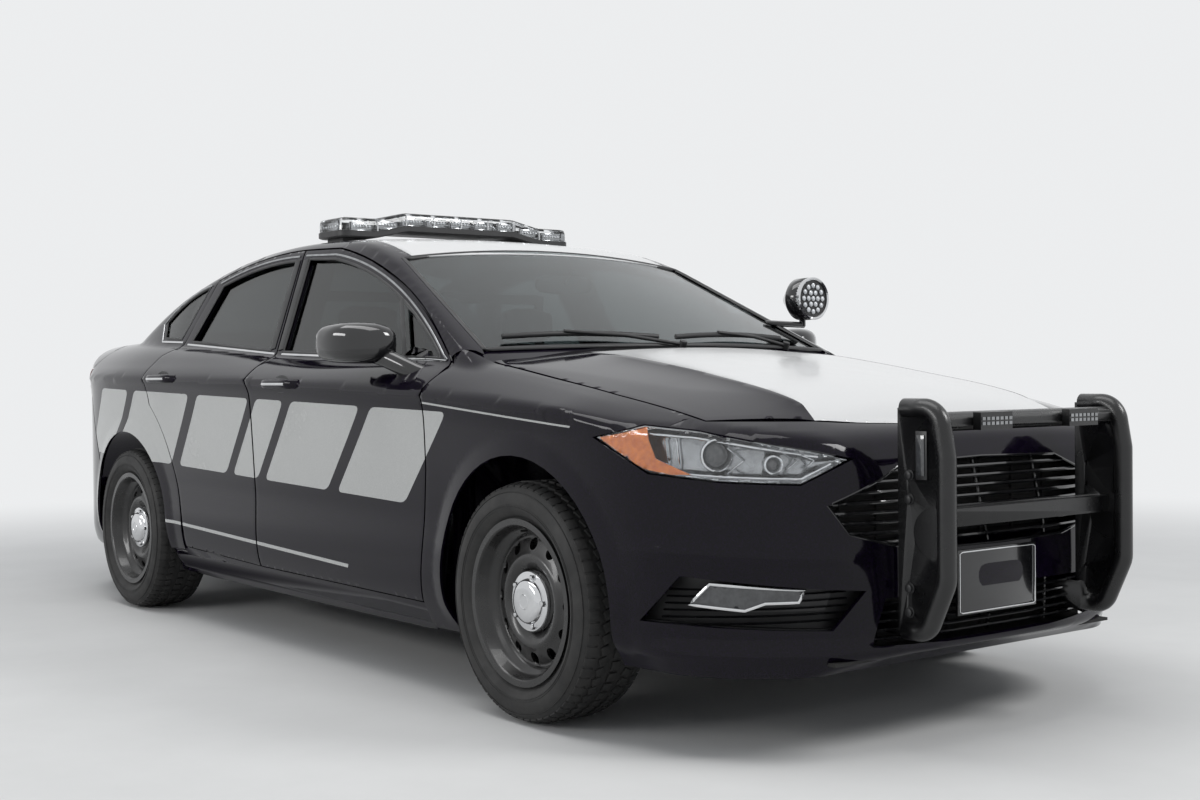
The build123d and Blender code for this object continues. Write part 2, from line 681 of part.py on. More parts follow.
well = arch(REAR_AXLE_X, ARCH_R, 662)
left.append(house_box)
shell = fuse([skins, house] + plates + left + [other_side(one) for one in left])
shell = shell - well - other_side(well)
for opening in (FRONT_OPENING, REAR_OPENING):
    shell = shell - opening - other_side(opening)
shell = shell - prism_y(QUARTER_WINDOW, -1000, 1000)
write("body_shell", shell, 20000)

print("guard")
GUARD_REAR_X = 2334.0
GUARD_FRONT_X = 2508.0
GUARD_TOP_Z = 890.0
GUARD_FOOT_Z = 290.0
GUARD_Y = 365.0
GUARD_TUBE_R = 24.0
GUARD_PLATE_T = 10.0
GUARD_BOLT_R = 7.0
GUARD_BOLTS = ((2372, 700), (2372, 640), (2372, 420), (2372, 360))
GUARD_TOP_BAR_Z = 832.0
GUARD_MID_BAR_Z = 592.0


def guard_side(y):
    """One upright: a tube that turns over at the top and the foot, round a flat plate."""
    front = GUARD_FRONT_X - GUARD_TUBE_R
    top = GUARD_TOP_Z - GUARD_TUBE_R
    foot = GUARD_FOOT_Z + GUARD_TUBE_R
    corners = [
        (GUARD_REAR_X + 20, y, top), (front - 22, y, top), (front, y, top - 120),
        (front, y, foot + 130), (front - 60, y, foot), (GUARD_REAR_X + 20, y, foot),
    ]
    path = FilletPolyline(*corners, radius=[55, 50, 60, 45])
    tube = sweep(Plane(corners[0], z_dir=(1, 0, 0)) * Circle(GUARD_TUBE_R), path)
    plate = prism_y(
        [(GUARD_REAR_X, foot - 10), (GUARD_REAR_X, top), (front - 30, top), (front - 6, top - 110),
         (front - 6, foot + 125), (front - 62, foot)], y - GUARD_PLATE_T / 2, y + GUARD_PLATE_T / 2)
    notch = cyl_y(front - 40, 560, 62, y - 30, y + 30)
    side = tube.fuse(plate)
    side = side - (notch & block(2300, front - 20, -500, 500, 400, 640))
    for x, z in GUARD_BOLTS:
        side = side - cyl_y(x, z, GUARD_BOLT_R, y - 30, y + 30)
    return side


guard_bar = rod((2440, -GUARD_Y, GUARD_TOP_BAR_Z), (2440, GUARD_Y, GUARD_TOP_BAR_Z), GUARD_TUBE_R)
guard_channel = block(2380, 2440, -GUARD_Y, GUARD_Y, GUARD_MID_BAR_Z - 22, GUARD_MID_BAR_Z + 22)
guard_channel = guard_channel - block(2379, 2430, -330, 330, GUARD_MID_BAR_Z - 16, GUARD_MID_BAR_Z + 16)
bracket = block(2180, 2350, BRACKET_Y[0], BRACKET_Y[1], BRACKET_Z[0], BRACKET_Z[1])
bracket = bracket.fuse(block(2180, 2222, BRACKET_Y[0], BRACKET_Y[1], BRACKET_Z[0], RAIL_Z - SEAT_GAP))
bracket = bracket.fuse(block(2336, 2364, BRACKET_Y[0], GUARD_Y, BRACKET_Z[0], BRACKET_Z[1]))
guard = fuse([guard_side(GUARD_Y), guard_side(-GUARD_Y), guard_bar, guard_channel] + both_sides(bracket))
GUARD_LAMP_Y = 180.0
lamp_pods = []
for y in (-GUARD_LAMP_Y, GUARD_LAMP_Y):
    lamp_pods.append(block(2466, 2490, y - 62, y + 62, GUARD_TOP_BAR_Z - 22, GUARD_TOP_BAR_Z + 22))
    lamp_pods.append(block(2455, 2467, y - 12, y + 12, GUARD_TOP_BAR_Z - 12, GUARD_TOP_BAR_Z + 12))
write("push_bumper", fuse([guard] + lamp_pods))

print("light bar")
BAR_FRONT_X = -232.0
BAR_DEPTH = 215.0
BAR_TIP_Y = 530.0
BAR_MID_Y = 250.0
BAR_WING_Y = 375.0
BAR_WING_DROP = 28.0
BAR_CORNER = 40.0
BAR_FOOT_Z = 1510.0
BAR_LENS_Z = 1534.0
BAR_TOP_Z = 1584.0


def bar_plan(grow):
    """The light bar seen from above: straight, with rounded ends."""
    front, rear, tip = BAR_FRONT_X + grow, BAR_FRONT_X - BAR_DEPTH - grow, BAR_TIP_Y + grow
    side, bend = BAR_CORNER, BAR_CORNER * 0.29
    return [
        (front, side - tip), (front, tip - side), ((front - bend, tip - bend), (front - side, tip)),
        (rear + side, tip), ((rear + bend, tip - bend), (rear, tip - side)),
        (rear, side - tip), ((rear + bend, bend - tip), (rear + side, -tip)),
        (front - side, -tip), ((front - bend, bend - tip), (front, side - tip)),
    ]


def bar_front(low, high):
    """The light bar seen from the front: a raised middle and lower wings."""
    knees = [(-800, BAR_WING_DROP), (-BAR_WING_Y, BAR_WING_DROP), (-BAR_MID_Y, 0), (BAR_MID_Y, 0),
             (BAR_WING_Y, BAR_WING_DROP), (800, BAR_WING_DROP)]
    return [(y, low - drop) for y, drop in knees] + [(y, high - drop) for y, drop in reversed(knees)]


bar_base = prism_z(bar_plan(0), 1400, 1700) & prism_x(bar_front(BAR_FOOT_Z, BAR_LENS_Z), -700, 0)
bar_feet = [block(-420, -300, y - 60, y + 60, 1440, BAR_FOOT_Z - BAR_WING_DROP + 6) for y in (-440, 440)]
bar_feet = [foot - glasshouse(-SEAT_GAP) for foot in bar_feet]
write("light_bar_base", fuse([bar_base] + bar_feet))
bar_lens = prism_z(bar_plan(-4), 1400, 1700) & prism_x(bar_front(BAR_LENS_Z + SEAT_GAP, BAR_TOP_Z), -700, 0)
write("light_bar_lens", bar_lens)

print("spotlight")
SPOT = (860.0, 812.0, 1228.0)
SPOT_R = 78.0
spot = cyl_x(SPOT[1], SPOT[2], SPOT_R, SPOT[0] - 40, SPOT[0] + 22)
spot_back = Solid.make_cone(SPOT_R, 30, 60, Plane((SPOT[0] - 40, SPOT[1], SPOT[2]), z_dir=(-1, 0, 0)))
arm = rod((SPOT[0] - 30, SPOT[1], SPOT[2] - 40), (SPOT[0] - 30, SPOT[1], SPOT[2] - 100), 12)
arm = arm.fuse(rod((SPOT[0] - 30, SPOT[1] + 6, SPOT[2] - 96), (SPOT[0] - 46, 640, SPOT[2] - 90), 11))
write("spotlight", fuse([spot, spot_back, arm]) - glasshouse(-SEAT_GAP))

print("cowl")
COWL_IN = 12.0
COWL_T = 12.0
COWL_FOOT_Z = COWL_TOP_Z
cowl_zone = block(HOUSE_FRONT_X + SEAT_GAP, 1250, -722, 722, COWL_FOOT_Z + SEAT_GAP, 1047)
cowl = (glasshouse(COWL_IN) & cowl_zone) - glasshouse(COWL_IN + COWL_T) - hood_cut
write("cowl_panel", cowl)

print("cabin")
DASH_PROFILE = [
    (929.7, 560), (929.7, 954), (900, 985), ((760, 985), (570, 948)),
    (532, 905), ((556, 800), (640, 620)), (760, 520),
]
dash = prism_y(DASH_PROFILE, -725, 725)
FLOOR_SEAT_Z = FLOOR_Z + SEAT_GAP
console_side = [(-40, FLOOR_SEAT_Z), (-40, 470), (300, 500), (520, 640), (700, 640), (700, FLOOR_SEAT_Z)]
console = prism_y(console_side, -110, 110)
laptop_screen = prism_y([(395, 640), (470, 880), (485, 876), (412, 640)], -260, 60)
laptop = block(120, 400, -260, 60, 640, 660).fuse(laptop_screen)
stand = cyl_z(300, -60, 22, 480, 645)
HUB = (470.0, 370.0, 850.0)
COLUMN_TILT = radians(24)
COLUMN_WAY = Vector(-cos(COLUMN_TILT), 0, sin(COLUMN_TILT))
SHAFT_R = 18.0
SHAFT_L = 90.0
column_bore = extrude(Plane(HUB, z_dir=COLUMN_WAY * -1) * Circle(SHAFT_R + 0.5), SHAFT_L + 31)
write("dashboard", fuse([dash, console, laptop, stand]) - column_bore)

SEAT_Y = 370.0
SEAT_HALF = 250.0


def front_seat(y):
    low, high = y - SEAT_HALF, y + SEAT_HALF
    base = prism_y([(-80, 300), (-60, 400), ((160, 455), (420, 440)), ((440, 380), (400, 300))], low, high)
    back_side = [
        (-40, 420), (-60, 360), (-130, 380), ((-250, 700), (-330, 1010)),
        (-260, 1030), ((-150, 760), (-50, 480)),
    ]
    back = prism_y(back_side, low, high)
    head = prism_y([(-370, 1070), (-352, 1230), ((-320, 1245), (-285, 1230)), (-270, 1075)], y - 130, y + 130)
    posts = [rod((-300, y + d, 1000), (-315, y + d, 1090), 7) for d in (-60, 60)]
    rails = [block(-60, 400, y + d - 20, y + d + 20, FLOOR_SEAT_Z, 310) for d in (-190, 190)]
    return fuse([base, back, head] + posts + rails)


write("front_seats", [front_seat(SEAT_Y), front_seat(-SEAT_Y)])

rear_base_side = [
    (-1299, FLOOR_SEAT_Z), (-1299, 470), (-900, 500), ((-800, 490), (-770, 420)), (-790, FLOOR_SEAT_Z),
]
rear_back_side = [(-1100, 470), (-1299, 470), (-1299, 1040), (-1240, 1040), ((-1150, 800), (-1080, 500))]
rear_base = prism_y(rear_base_side, -600, 600)
rear_back = prism_y(rear_back_side, -600, 600)
write("rear_seat", rear_base.fuse(rear_back))

PARTITION_X = -470.0
cage = block(PARTITION_X - 12, PARTITION_X, -560, 560, 420, 1290)
cage = cage - block(PARTITION_X - 20, PARTITION_X + 10, -520, -30, 860, 1250)
cage = cage - block(PARTITION_X - 20, PARTITION_X + 10, 30, 520, 860, 1250)
cage_leg = block(PARTITION_X - 60, PARTITION_X, 615, 665, FLOOR_SEAT_Z, 460)
cage_foot = block(PARTITION_X - 12, PARTITION_X, 540, 650, 420, 460)
write("partition", fuse([cage] + both_sides(cage_leg) + both_sides(cage_foot)))

print("steering wheel")
WHEEL_R = 182.0
steer_plane = Plane(HUB, x_dir=(0, 1, 0), z_dir=COLUMN_WAY)
rim_ring = steer_plane * Torus(WHEEL_R, 15)
boss = extrude(steer_plane.offset(-30) * Circle(62), 40)
spokes = []
for a in (0, pi, -pi / 2):
    middle = steer_plane.offset(-14) * Pos(90 * cos(a), 90 * sin(a)) * Rot(0, 0, a * 180 / pi)
    spokes.append(extrude(middle * Rectangle(170, 36), 16))
shaft_start = Vector(*HUB) - COLUMN_WAY * 30
shaft = extrude(Plane(shaft_start, z_dir=COLUMN_WAY * -1) * Circle(SHAFT_R), SHAFT_L)
write("steering_wheel", fuse([rim_ring, boss, shaft] + spokes))

print("wheels")
def at_wheel(x, side, shape):
    """Moves a wheel piece, made with its outer side towards +Y, to its place on the car."""
    placed = shape if side > 0 else other_side(shape)
    return placed.moved(Location((x, side * TRACK / 2, TYRE_R)))


def revolve_y(profile):
    """Turns a profile of radius and width round the axle."""
    face = flat_face(profile, lambda p: (p[0], p[1], 0))
    return revolve(face, Axis((0, 0, 0), (0, 1, 0)), 360)


HALF_TYRE = TYRE_W / 2
tyre = revolve_y([
    (BEAD_R + 2, -HALF_TYRE + 24), (RIM_LIP_R + 3, -HALF_TYRE + 23),
    ((TYRE_R - 80, -HALF_TYRE + 3), (TYRE_R - 60, -HALF_TYRE)),
    ((TYRE_R - 22, -HALF_TYRE + 5), (TYRE_R - 4, -HALF_TYRE + 26)),
    ((TYRE_R, 0), (TYRE_R - 4, HALF_TYRE - 26)),
    ((TYRE_R - 22, HALF_TYRE - 5), (TYRE_R - 60, HALF_TYRE)),
    ((TYRE_R - 80, HALF_TYRE - 3), (RIM_LIP_R + 3, HALF_TYRE - 23)), (BEAD_R + 2, HALF_TYRE - 24),
    (BEAD_R + 2, HALF_TYRE - 36), (BEAD_R + 40, HALF_TYRE - 30), (TYRE_R - 40, HALF_TYRE - 14),
    ((TYRE_R - 18, 0), (TYRE_R - 40, -HALF_TYRE + 14)),
    (BEAD_R + 40, -HALF_TYRE + 30), (BEAD_R + 2, -HALF_TYRE + 36),
])
rim = revolve_y([
    (RIM_LIP_R, 105), (RIM_LIP_R, 98), (BEAD_R + 1.5, 94), (BEAD_R + 1.5, 60), (190, 40), (190, -60),
    (BEAD_R + 1.5, -80), (BEAD_R + 1.5, -96), (RIM_LIP_R, -100), (RIM_LIP_R, -106), (BEAD_R - 8, -104),
    (BEAD_R - 8, -84), (181, -62), (181, 46), (BEAD_R - 8, 66), (BEAD_R - 8, 100), (BEAD_R - 2, 105),
])
disc = revolve_y([
    (30, 30), (30, 42), (84, 42), (108, 62), (124, 66), (140, 56), (172, 44), (186, 36), (186, 26),
    (168, 36), (138, 46), (122, 56), (110, 52), (88, 30),
])
for n in range(RIM_HOLES):
    angle = 2 * pi * n / RIM_HOLES
    disc = disc - cyl_y(RIM_HOLE_RING_R * cos(angle), RIM_HOLE_RING_R * sin(angle), RIM_HOLE_R, 0, 90)
cap = revolve_y([(0, 40), (0, 82), (30, 82), ((52, 80), (60, 66)), (80, 62), (80, 40)])
brake = revolve_y([(30, 0), (30, 8), (DISC_R, 8), (DISC_R, -DISC_T + 6), (80, -DISC_T + 6), (80, 0)])
hub = revolve_y([(0, -24), (0, 41), (32, 41), (32, 31), (80, 31), (80, 7), (34, 7), (34, -24)])
wheel = rim.fuse(disc, hub, brake, cap)
CORNERS = (
    ("front_left", FRONT_AXLE_X, 1), ("front_right", FRONT_AXLE_X, -1),
    ("rear_left", REAR_AXLE_X, 1), ("rear_right", REAR_AXLE_X, -1),
)
for name, x, side in CORNERS:
    write("tyre_" + name, at_wheel(x, side, tyre))
    write("wheel_" + name, at_wheel(x, side, wheel))

print("axles")
STEER_IN = TRACK / 2 - STEER_AXIS_Y
BALL_R = 12.0
spindle = cyl_y(0, 0, 26, -150, -24 - SEAT_GAP)
upright = fuse([spindle, block(-40, 40, -125, -96, -100, 150), block(-20, 110, -122, -98, -30, 10)])
strut_top = TOWER_Z - SEAT_GAP - TYRE_R
strut = fuse([cyl_z(0, -STRUT_IN, 24, 100, strut_top), cyl_z(0, -STRUT_IN, 50, 357, strut_top - 14),
              block(-30, 30, -160, -104, 60, 120)])
ball_pin = cyl_z(0, -STEER_IN, BALL_R, -142, -90)
for name, x, side in CORNERS[:2]:
    write("knuckle_" + name, at_wheel(x, side, fuse([upright, strut, ball_pin])))

subframe = [
    block(FRONT_AXLE_X - 200, FRONT_AXLE_X + 160, -380, 380, 190, 230),
    block(FRONT_AXLE_X - 200, FRONT_AXLE_X - 140, -440, 440, 190, 230),
]
ARM_Z = 209.0
arm_side = [block(FRONT_AXLE_X - 190, FRONT_AXLE_X - 145, 401, 438, 226, RAIL_Z - SEAT_GAP)]
for x in (-120, 120):
    arm_side.append(rod((FRONT_AXLE_X + x, 370, ARM_Z + 3), (FRONT_AXLE_X, STEER_AXIS_Y, ARM_Z), 16))
arm_side.append(cyl_z(FRONT_AXLE_X, STEER_AXIS_Y, 28, ARM_Z - 18, ARM_Z + 18))
arms = fuse(arm_side) - cyl_z(FRONT_AXLE_X, STEER_AXIS_Y, BALL_R + SEAT_GAP, ARM_Z - 40, ARM_Z + 40)
write("front_subframe", fuse(subframe + both_sides(arms)))

beam = [block(REAR_AXLE_X - 60, REAR_AXLE_X + 60, -440, 440, 228, 300)]
for side in (1, -1):
    beam.append(rod((REAR_AXLE_X, side * 420, 262), (REAR_AXLE_X, side * 690, 262), 22))
    beam.append(block(REAR_AXLE_X - 45, REAR_AXLE_X + 45, side * 688 - 16, side * 688 + 16, 235, 430))
    hub_y = sorted((side * 690, side * (TRACK / 2 - 24 - SEAT_GAP)))
    beam.append(cyl_y(REAR_AXLE_X, TYRE_R, 26, hub_y[0], hub_y[1]))
    beam.append(rod((REAR_AXLE_X, side * 610, 262), (REAR_AXLE_X, side * 610, 329.7), 55))
    beam.append(block(REAR_AXLE_X - 40, REAR_AXLE_X + 40, side * 350 - 30, side * 350 + 30, 290, 329.7))
write("rear_axle", fuse(beam))

engine = block(1020, 1700, -330, 330, 260, 860).fuse(block(1300, 1560, -398, -320, 262, 480))
engine_feet = [block(1300, 1360, -340, 340, 230.3, 270)]
write("engine_block", fuse([engine] + engine_feet))

PIPE_R = 26.0
pipe_route = [
    (900, -120, 165), (200, -120, 165), (-600, -190, 165), (-1240, -190, 165), (-1330, -330, 165),
    (-1560, -420, 196), (-1990, -500, 262),
]
pipe_path = FilletPolyline(*pipe_route, radius=[150, 200, 60, 60, 100])
pipe = sweep(Plane(pipe_route[0], z_dir=(-1, 0, 0)) * Circle(PIPE_R), pipe_path)
muffler = block(-2240, -1920, -640, -380, 222, 329.7)
tail_route = [(-2215, -520, 250), (-2250, -520, 236), (-2300, -520, 186), (-2430, -520, 184)]
tail_path = FilletPolyline(*tail_route, radius=[20, 30])
tail_pipe = sweep(Plane(tail_route[0], z_dir=(-1, 0, 0)) * Circle(PIPE_R), tail_path)
write("exhaust", fuse([pipe, muffler, tail_pipe]))
tank = block(-1290, -820, -60, 560, 150, FLOOR_Z - FLOOR_T - SEAT_GAP)
write("fuel_tank", fillet(tank.edges(), 18))
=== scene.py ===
import json
import math

import bmesh
import bpy
import numpy as np
from mathutils import Matrix, Vector
from mathutils.geometry import delaunay_2d_cdt


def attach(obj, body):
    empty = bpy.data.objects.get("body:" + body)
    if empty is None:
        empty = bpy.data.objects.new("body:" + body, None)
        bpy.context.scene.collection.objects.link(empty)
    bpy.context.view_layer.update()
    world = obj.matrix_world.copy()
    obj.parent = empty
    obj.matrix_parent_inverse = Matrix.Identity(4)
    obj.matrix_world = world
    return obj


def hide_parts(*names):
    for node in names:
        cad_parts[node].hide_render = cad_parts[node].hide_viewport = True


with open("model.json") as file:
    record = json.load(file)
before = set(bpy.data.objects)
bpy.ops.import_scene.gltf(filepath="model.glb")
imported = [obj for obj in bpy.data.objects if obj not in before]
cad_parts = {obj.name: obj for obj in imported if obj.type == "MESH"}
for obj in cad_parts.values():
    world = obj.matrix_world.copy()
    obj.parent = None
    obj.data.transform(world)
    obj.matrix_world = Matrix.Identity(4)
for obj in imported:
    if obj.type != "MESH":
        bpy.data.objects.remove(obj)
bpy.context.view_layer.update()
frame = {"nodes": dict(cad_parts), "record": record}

NODE_BODY = {node: body for body, nodes in frame["record"]["behaviour"]["bodies"].items() for node in nodes}

# The car's own measures, in metres: X forward, Y to the driver's left, Z up
FRONT_AXLE_X = 1.438
REAR_AXLE_X = -1.412
HALF_TRACK = 0.800
TYRE_R = 0.333
ARCH_R = 0.398
ARCH_Z = 0.340
GUARD_Y = 0.365

# Body sections from nose to tail, in millimetres
# columns: x, sill z, sill y, low z, low y, mid z, mid y, line z, line y, edge z, edge y, crown z
SECTIONS = np.array([
    (2440, 205, 700, 300, 830, 480, 860, 640, 860, 730, 640, 752),
    (2060, 200, 800, 300, 872, 500, 885, 780, 884, 832, 750, 900),
    (1720, 195, 830, 300, 885, 520, 902, 842, 908, 898, 780, 962),
    (1438, 190, 840, 300, 890, 540, 908, 872, 920, 940, 790, 1006),
    (1030, 185, 840, 300, 888, 560, 900, 900, 922, 992, 806, 1058),
    (0, 180, 830, 300, 886, 560, 898, 938, 924, 1030, 794, 1070),
    (-1030, 185, 830, 300, 886, 560, 902, 956, 926, 1088, 778, 1120),
    (-1560, 195, 830, 310, 890, 560, 912, 962, 920, 1112, 740, 1150),
    (-2080, 215, 790, 330, 860, 560, 880, 962, 868, 1108, 690, 1142),
    (-2580, 230, 690, 350, 780, 560, 800, 950, 790, 1098, 600, 1122),
], float)[::-1] / 1000

# Half of the plan outline and the side outline, as arcs: start, point on the arc, end
PLAN_ARCS = (
    ((-2440, 500), (-2330, 665), (-2160, 785)), ((-2160, 785), (-1908, 876), (-1568, 925)),
    ((-1568, 925), (-1380, 932), (-1208, 935)), ((-1208, 935), (0, 935), (1163, 935)),
    ((1163, 935), (1350, 933), (1538, 929)), ((1538, 929), (1893, 878), (2054, 800)),
    ((2054, 800), (2185, 690), (2292, 500)),
)
NOSE_PROFILE = ((100, 2123), (195, 2233), (262, 2341), (330, 2356), (380, 2359), (430, 2363), (505, 2351), (731, 2297),
                (790, 2267), (812, 2240), (826, 2203), (1500, 1663))
TAIL_PROFILE = ((100, -2208), (235, -2338), (256, -2400), (290, -2468), (340, -2486), (400, -2492), (480, -2505),
                (560, -2508), (640, -2506), (700, -2500), (760, -2468), (1085, -2446), (1112, -2424), (1500, -1808))

# Roof sections: x, height at the rail, height at the centre
ROOF = np.array([
    (1300, 1300, 1326), (358, 1381, 1411), (90, 1430, 1457), (-250, 1450, 1478), (-600, 1444, 1472),
    (-950, 1402, 1430), (-1250, 1330, 1358), (-1700, 1166, 1194), (-2150, 1000, 1028), (-2600, 834, 862),
], float)[::-1] / 1000
ROOF_RAIL_Y = 0.640
BELT_Y, BELT_Z, GLASS_LEAN = 0.795, 1.020, 0.405
HOUSE_FOOT_Z = 0.960


def smooth_rows(table, x):
    """Rows of a table at x, on a smooth curve through the rows given."""
    xs = table[:, 0]
    slope = np.gradient(table, xs, axis=0)
    x = np.clip(np.asarray(x, float), xs[0], xs[-1])
    i = np.clip(np.searchsorted(xs, x) - 1, 0, len(xs) - 2)
    h = (xs[i + 1] - xs[i])[:, None]
    t = ((x - xs[i]) / (xs[i + 1] - xs[i]))[:, None]
    a, b, c, d = table[i], table[i + 1], slope[i] * h, slope[i + 1] * h
    return (2 * t**3 - 3 * t**2 + 1) * a + (t**3 - 2 * t**2 + t) * c + (3 * t**2 - 2 * t**3) * b + (t**3 - t**2) * d


def smooth_min(a, b, k):
    h = np.maximum(k - np.abs(a - b), 0) / k
    return np.minimum(a, b) - h * h * k / 4


def smooth_max(a, b, k):
    return -smooth_min(-a, -b, k)


def arc_points(p, q, r, count):
    """Points on the circle through three points; a straight run if they are in line."""
    (ax, ay), (bx, by), (cx, cy) = p, q, r
    d = 2 * (ax * (by - cy) + bx * (cy - ay) + cx * (ay - by))
    t = np.linspace(0, 1, count)
    if abs(d) < 1e-3:
        return np.outer(1 - t, p) + np.outer(t, r)
    ux = ((ax**2 + ay**2) * (by - cy) + (bx**2 + by**2) * (cy - ay) + (cx**2 + cy**2) * (ay - by)) / d
    uy = ((ax**2 + ay**2) * (cx - bx) + (bx**2 + by**2) * (ax - cx) + (cx**2 + cy**2) * (bx - ax)) / d
    rad = math.hypot(ax - ux, ay - uy)
    a0 = math.atan2(ay - uy, ax - ux)
    a1 = math.atan2(by - uy, bx - ux)
    a2 = math.atan2(cy - uy, cx - ux)
    turn = (a2 - a0) % (2 * math.pi)
    if (a1 - a0) % (2 * math.pi) > turn:
        turn -= 2 * math.pi
    ang = a0 + turn * t
    return np.column_stack((ux + rad * np.cos(ang), uy + rad * np.sin(ang)))


PLAN = np.vstack([arc_points(*arc, 24)[:-1] for arc in PLAN_ARCS] + [np.array([(2292, 500)])]) / 1000
NOSE = np.array(NOSE_PROFILE) / 1000
TAIL = np.array(TAIL_PROFILE) / 1000


def side_width(x, z):
    """Half width of the lower body at a height: curved flanks with one crisp line along the side."""
    p = smooth_rows(SECTIONS, x)
    zs, ys = p[:, [1, 3, 5, 7, 9]], p[:, [2, 4, 6, 8, 10]]
    cut = (ys[:, 1:] - ys[:, :-1]) / (zs[:, 1:] - zs[:, :-1])
    slope = np.column_stack((cut[:, 0], 0.5 * (cut[:, 0] + cut[:, 1]), 0.5 * (cut[:, 1] + cut[:, 2]), cut[:, 2] * 1.6,
                             cut[:, 3]))
    out = np.zeros(len(p))
    for n in range(4):
        h = zs[:, n + 1] - zs[:, n]
        t = (z - zs[:, n]) / h
        s0 = slope[:, n] if n < 3 else cut[:, 3] * 0.55
        s1 = slope[:, n + 1] if n < 3 else cut[:, 3] * 1.35
        run = ((2 * t**3 - 3 * t**2 + 1) * ys[:, n] + (t**3 - 2 * t**2 + t) * s0 * h
               + (3 * t**2 - 2 * t**3) * ys[:, n + 1] + (t**3 - t**2) * s1 * h)
        inside = (t >= 0) & (t <= 1)
        out[inside] = run[inside]
    below, above = z < zs[:, 0], z > zs[:, 4]
    out[below] = (ys[:, 0] + (z - zs[:, 0]) * 1.4)[below]
    out[above] = (ys[:, 4] + (z - zs[:, 4]) * cut[:, 3] * 2.2)[above]
    return out


def top_height(x, y):
    """Height of the hood, the deck and the belt between the flanks."""
    p = smooth_rows(SECTIONS, x)
    rise = p[:, 11] - p[:, 9]
    radius = (p[:, 10]**2 + rise**2) / (2 * rise)
    return p[:, 11] - radius + np.sqrt(np.maximum(radius**2 - y**2, 0.01))


def plan_width(x):
    nose = 0.5 * np.sqrt(np.maximum(1 - ((x - 2.292) / 0.071), 0))
    tail = 0.5 * np.sqrt(np.maximum(1 - ((-2.440 - x) / 0.068), 0))
    width = np.interp(x, PLAN[:, 0], PLAN[:, 1])
    return np.where(x > 2.292, nose, np.where(x < -2.440, tail, width))


def lower_depth(x, y, z):
    """How deep a point lies inside the lower body; rounded where its faces meet."""
    y = np.abs(y)
    side = smooth_min(side_width(x, z), plan_width(x), 0.035) - y
    ends = smooth_min(np.interp(z, NOSE[:, 0], NOSE[:, 1]) - x, x - np.interp(z, TAIL[:, 0], TAIL[:, 1]), 0.01)
    depth = smooth_min(side, ends, 0.05)
    return smooth_min(depth, top_height(x, y) - z, 0.045)


def house_depth(x, y, z):
    """How deep a point lies inside the glasshouse."""
    y, z = np.abs(y), np.maximum(z, HOUSE_FOOT_Z)
    back = np.maximum(-1.2 - x, 0)
    side = BELT_Y - (z - BELT_Z) * GLASS_LEAN - np.maximum(0.1984 * back**2 - 0.0274 * back, 0) - y
    rise = (z - 1.030) / 0.334
    corner_x, corner_y = 1.022 - 0.690 * rise, 0.731 - 0.118 * rise
    front = 1.126 - (z - 1.052) * 2.1573
    screen = (front - (front - corner_x) * (y / corner_y) ** 2 - x) * 0.42
    p = smooth_rows(ROOF, x)
    roof = p[:, 2] - (p[:, 2] - p[:, 1]) * (y / ROOF_RAIL_Y) ** 2 - z
    return smooth_min(smooth_min(side, screen, 0.030), roof, 0.045)


def body_depth(points):
    x, y, z = points[:, 0], points[:, 1], points[:, 2]
    return smooth_max(lower_depth(x, y, z), house_depth(x, y, z), 0.010)


def cast(inner, outer):
    """Where the line from a point inside to a point outside leaves the body."""
    low, high = np.zeros(len(inner)), np.ones(len(inner))
    for _ in range(22):
        mid = (low + high) / 2
        inside = body_depth(inner + (outer - inner) * mid[:, None]) > 0
        low, high = np.where(inside, mid, low), np.where(inside, high, mid)
    return inner + (outer - inner) * ((low + high) / 2)[:, None]


def onto_side(uv):
    """Points given as x and z, on the right-hand flank."""
    x, z = uv[:, 0], uv[:, 1]
    return cast(np.column_stack((x, x * 0 - 0.30, z)), np.column_stack((x, x * 0 - 1.2, z)))


def onto_top(uv):
    """Points given as x and y, on the top."""
    x, y = uv[:, 0], uv[:, 1]
    return cast(np.column_stack((x, y, x * 0 + 0.62)), np.column_stack((x, y, x * 0 + 1.7)))


ROUND_Y, ROUND_Z = -0.45, 0.55  # the line that the flank and shoulder are cast from


def onto_round(uv):
    """Points given as x and an angle up from the flank, round the shoulder."""
    x, angle = uv[:, 0], uv[:, 1]
    inner = np.column_stack((x, x * 0 + ROUND_Y, x * 0 + ROUND_Z))
    way = np.column_stack((x * 0, -np.cos(angle), np.sin(angle)))
    return cast(inner, inner + way * 1.2)


def round_angle(points):
    return np.arctan2(points[:, 2] - ROUND_Z, ROUND_Y - points[:, 1])


END_X = {"front": 1.45, "rear": -1.45}


def onto_end(uv, end):
    """Points given as an angle from straight ahead, towards the left, and a height, on the nose or the tail."""
    angle, z = uv[:, 0], uv[:, 1]
    sign = 1 if end == "front" else -1
    inner = np.column_stack((angle * 0 + END_X[end], angle * 0, z))
    way = np.column_stack((sign * np.cos(angle), np.sin(angle), angle * 0))
    return cast(inner, inner + way * 1.5)


def dense(outline, step):
    """A closed outline with points no further apart than step."""
    out = []
    count = len(outline)
    for n in range(count):
        a, b = np.array(outline[n], float), np.array(outline[(n + 1) % count], float)
        pieces = max(1, int(math.ceil(np.linalg.norm(b - a) / step)))
        out.extend(a + (b - a) * k / pieces for k in range(pieces))
    return np.array(out)


def even(line, step):
    """An open line with points no further apart than step."""
    line = np.array(line, float)
    out = [line[0]]
    for a, b in zip(line[:-1], line[1:]):
        pieces = max(1, int(math.ceil(np.linalg.norm(b - a) / step)))
        out.extend(a + (b - a) * k / pieces for k in range(1, pieces + 1))
    return np.array(out)


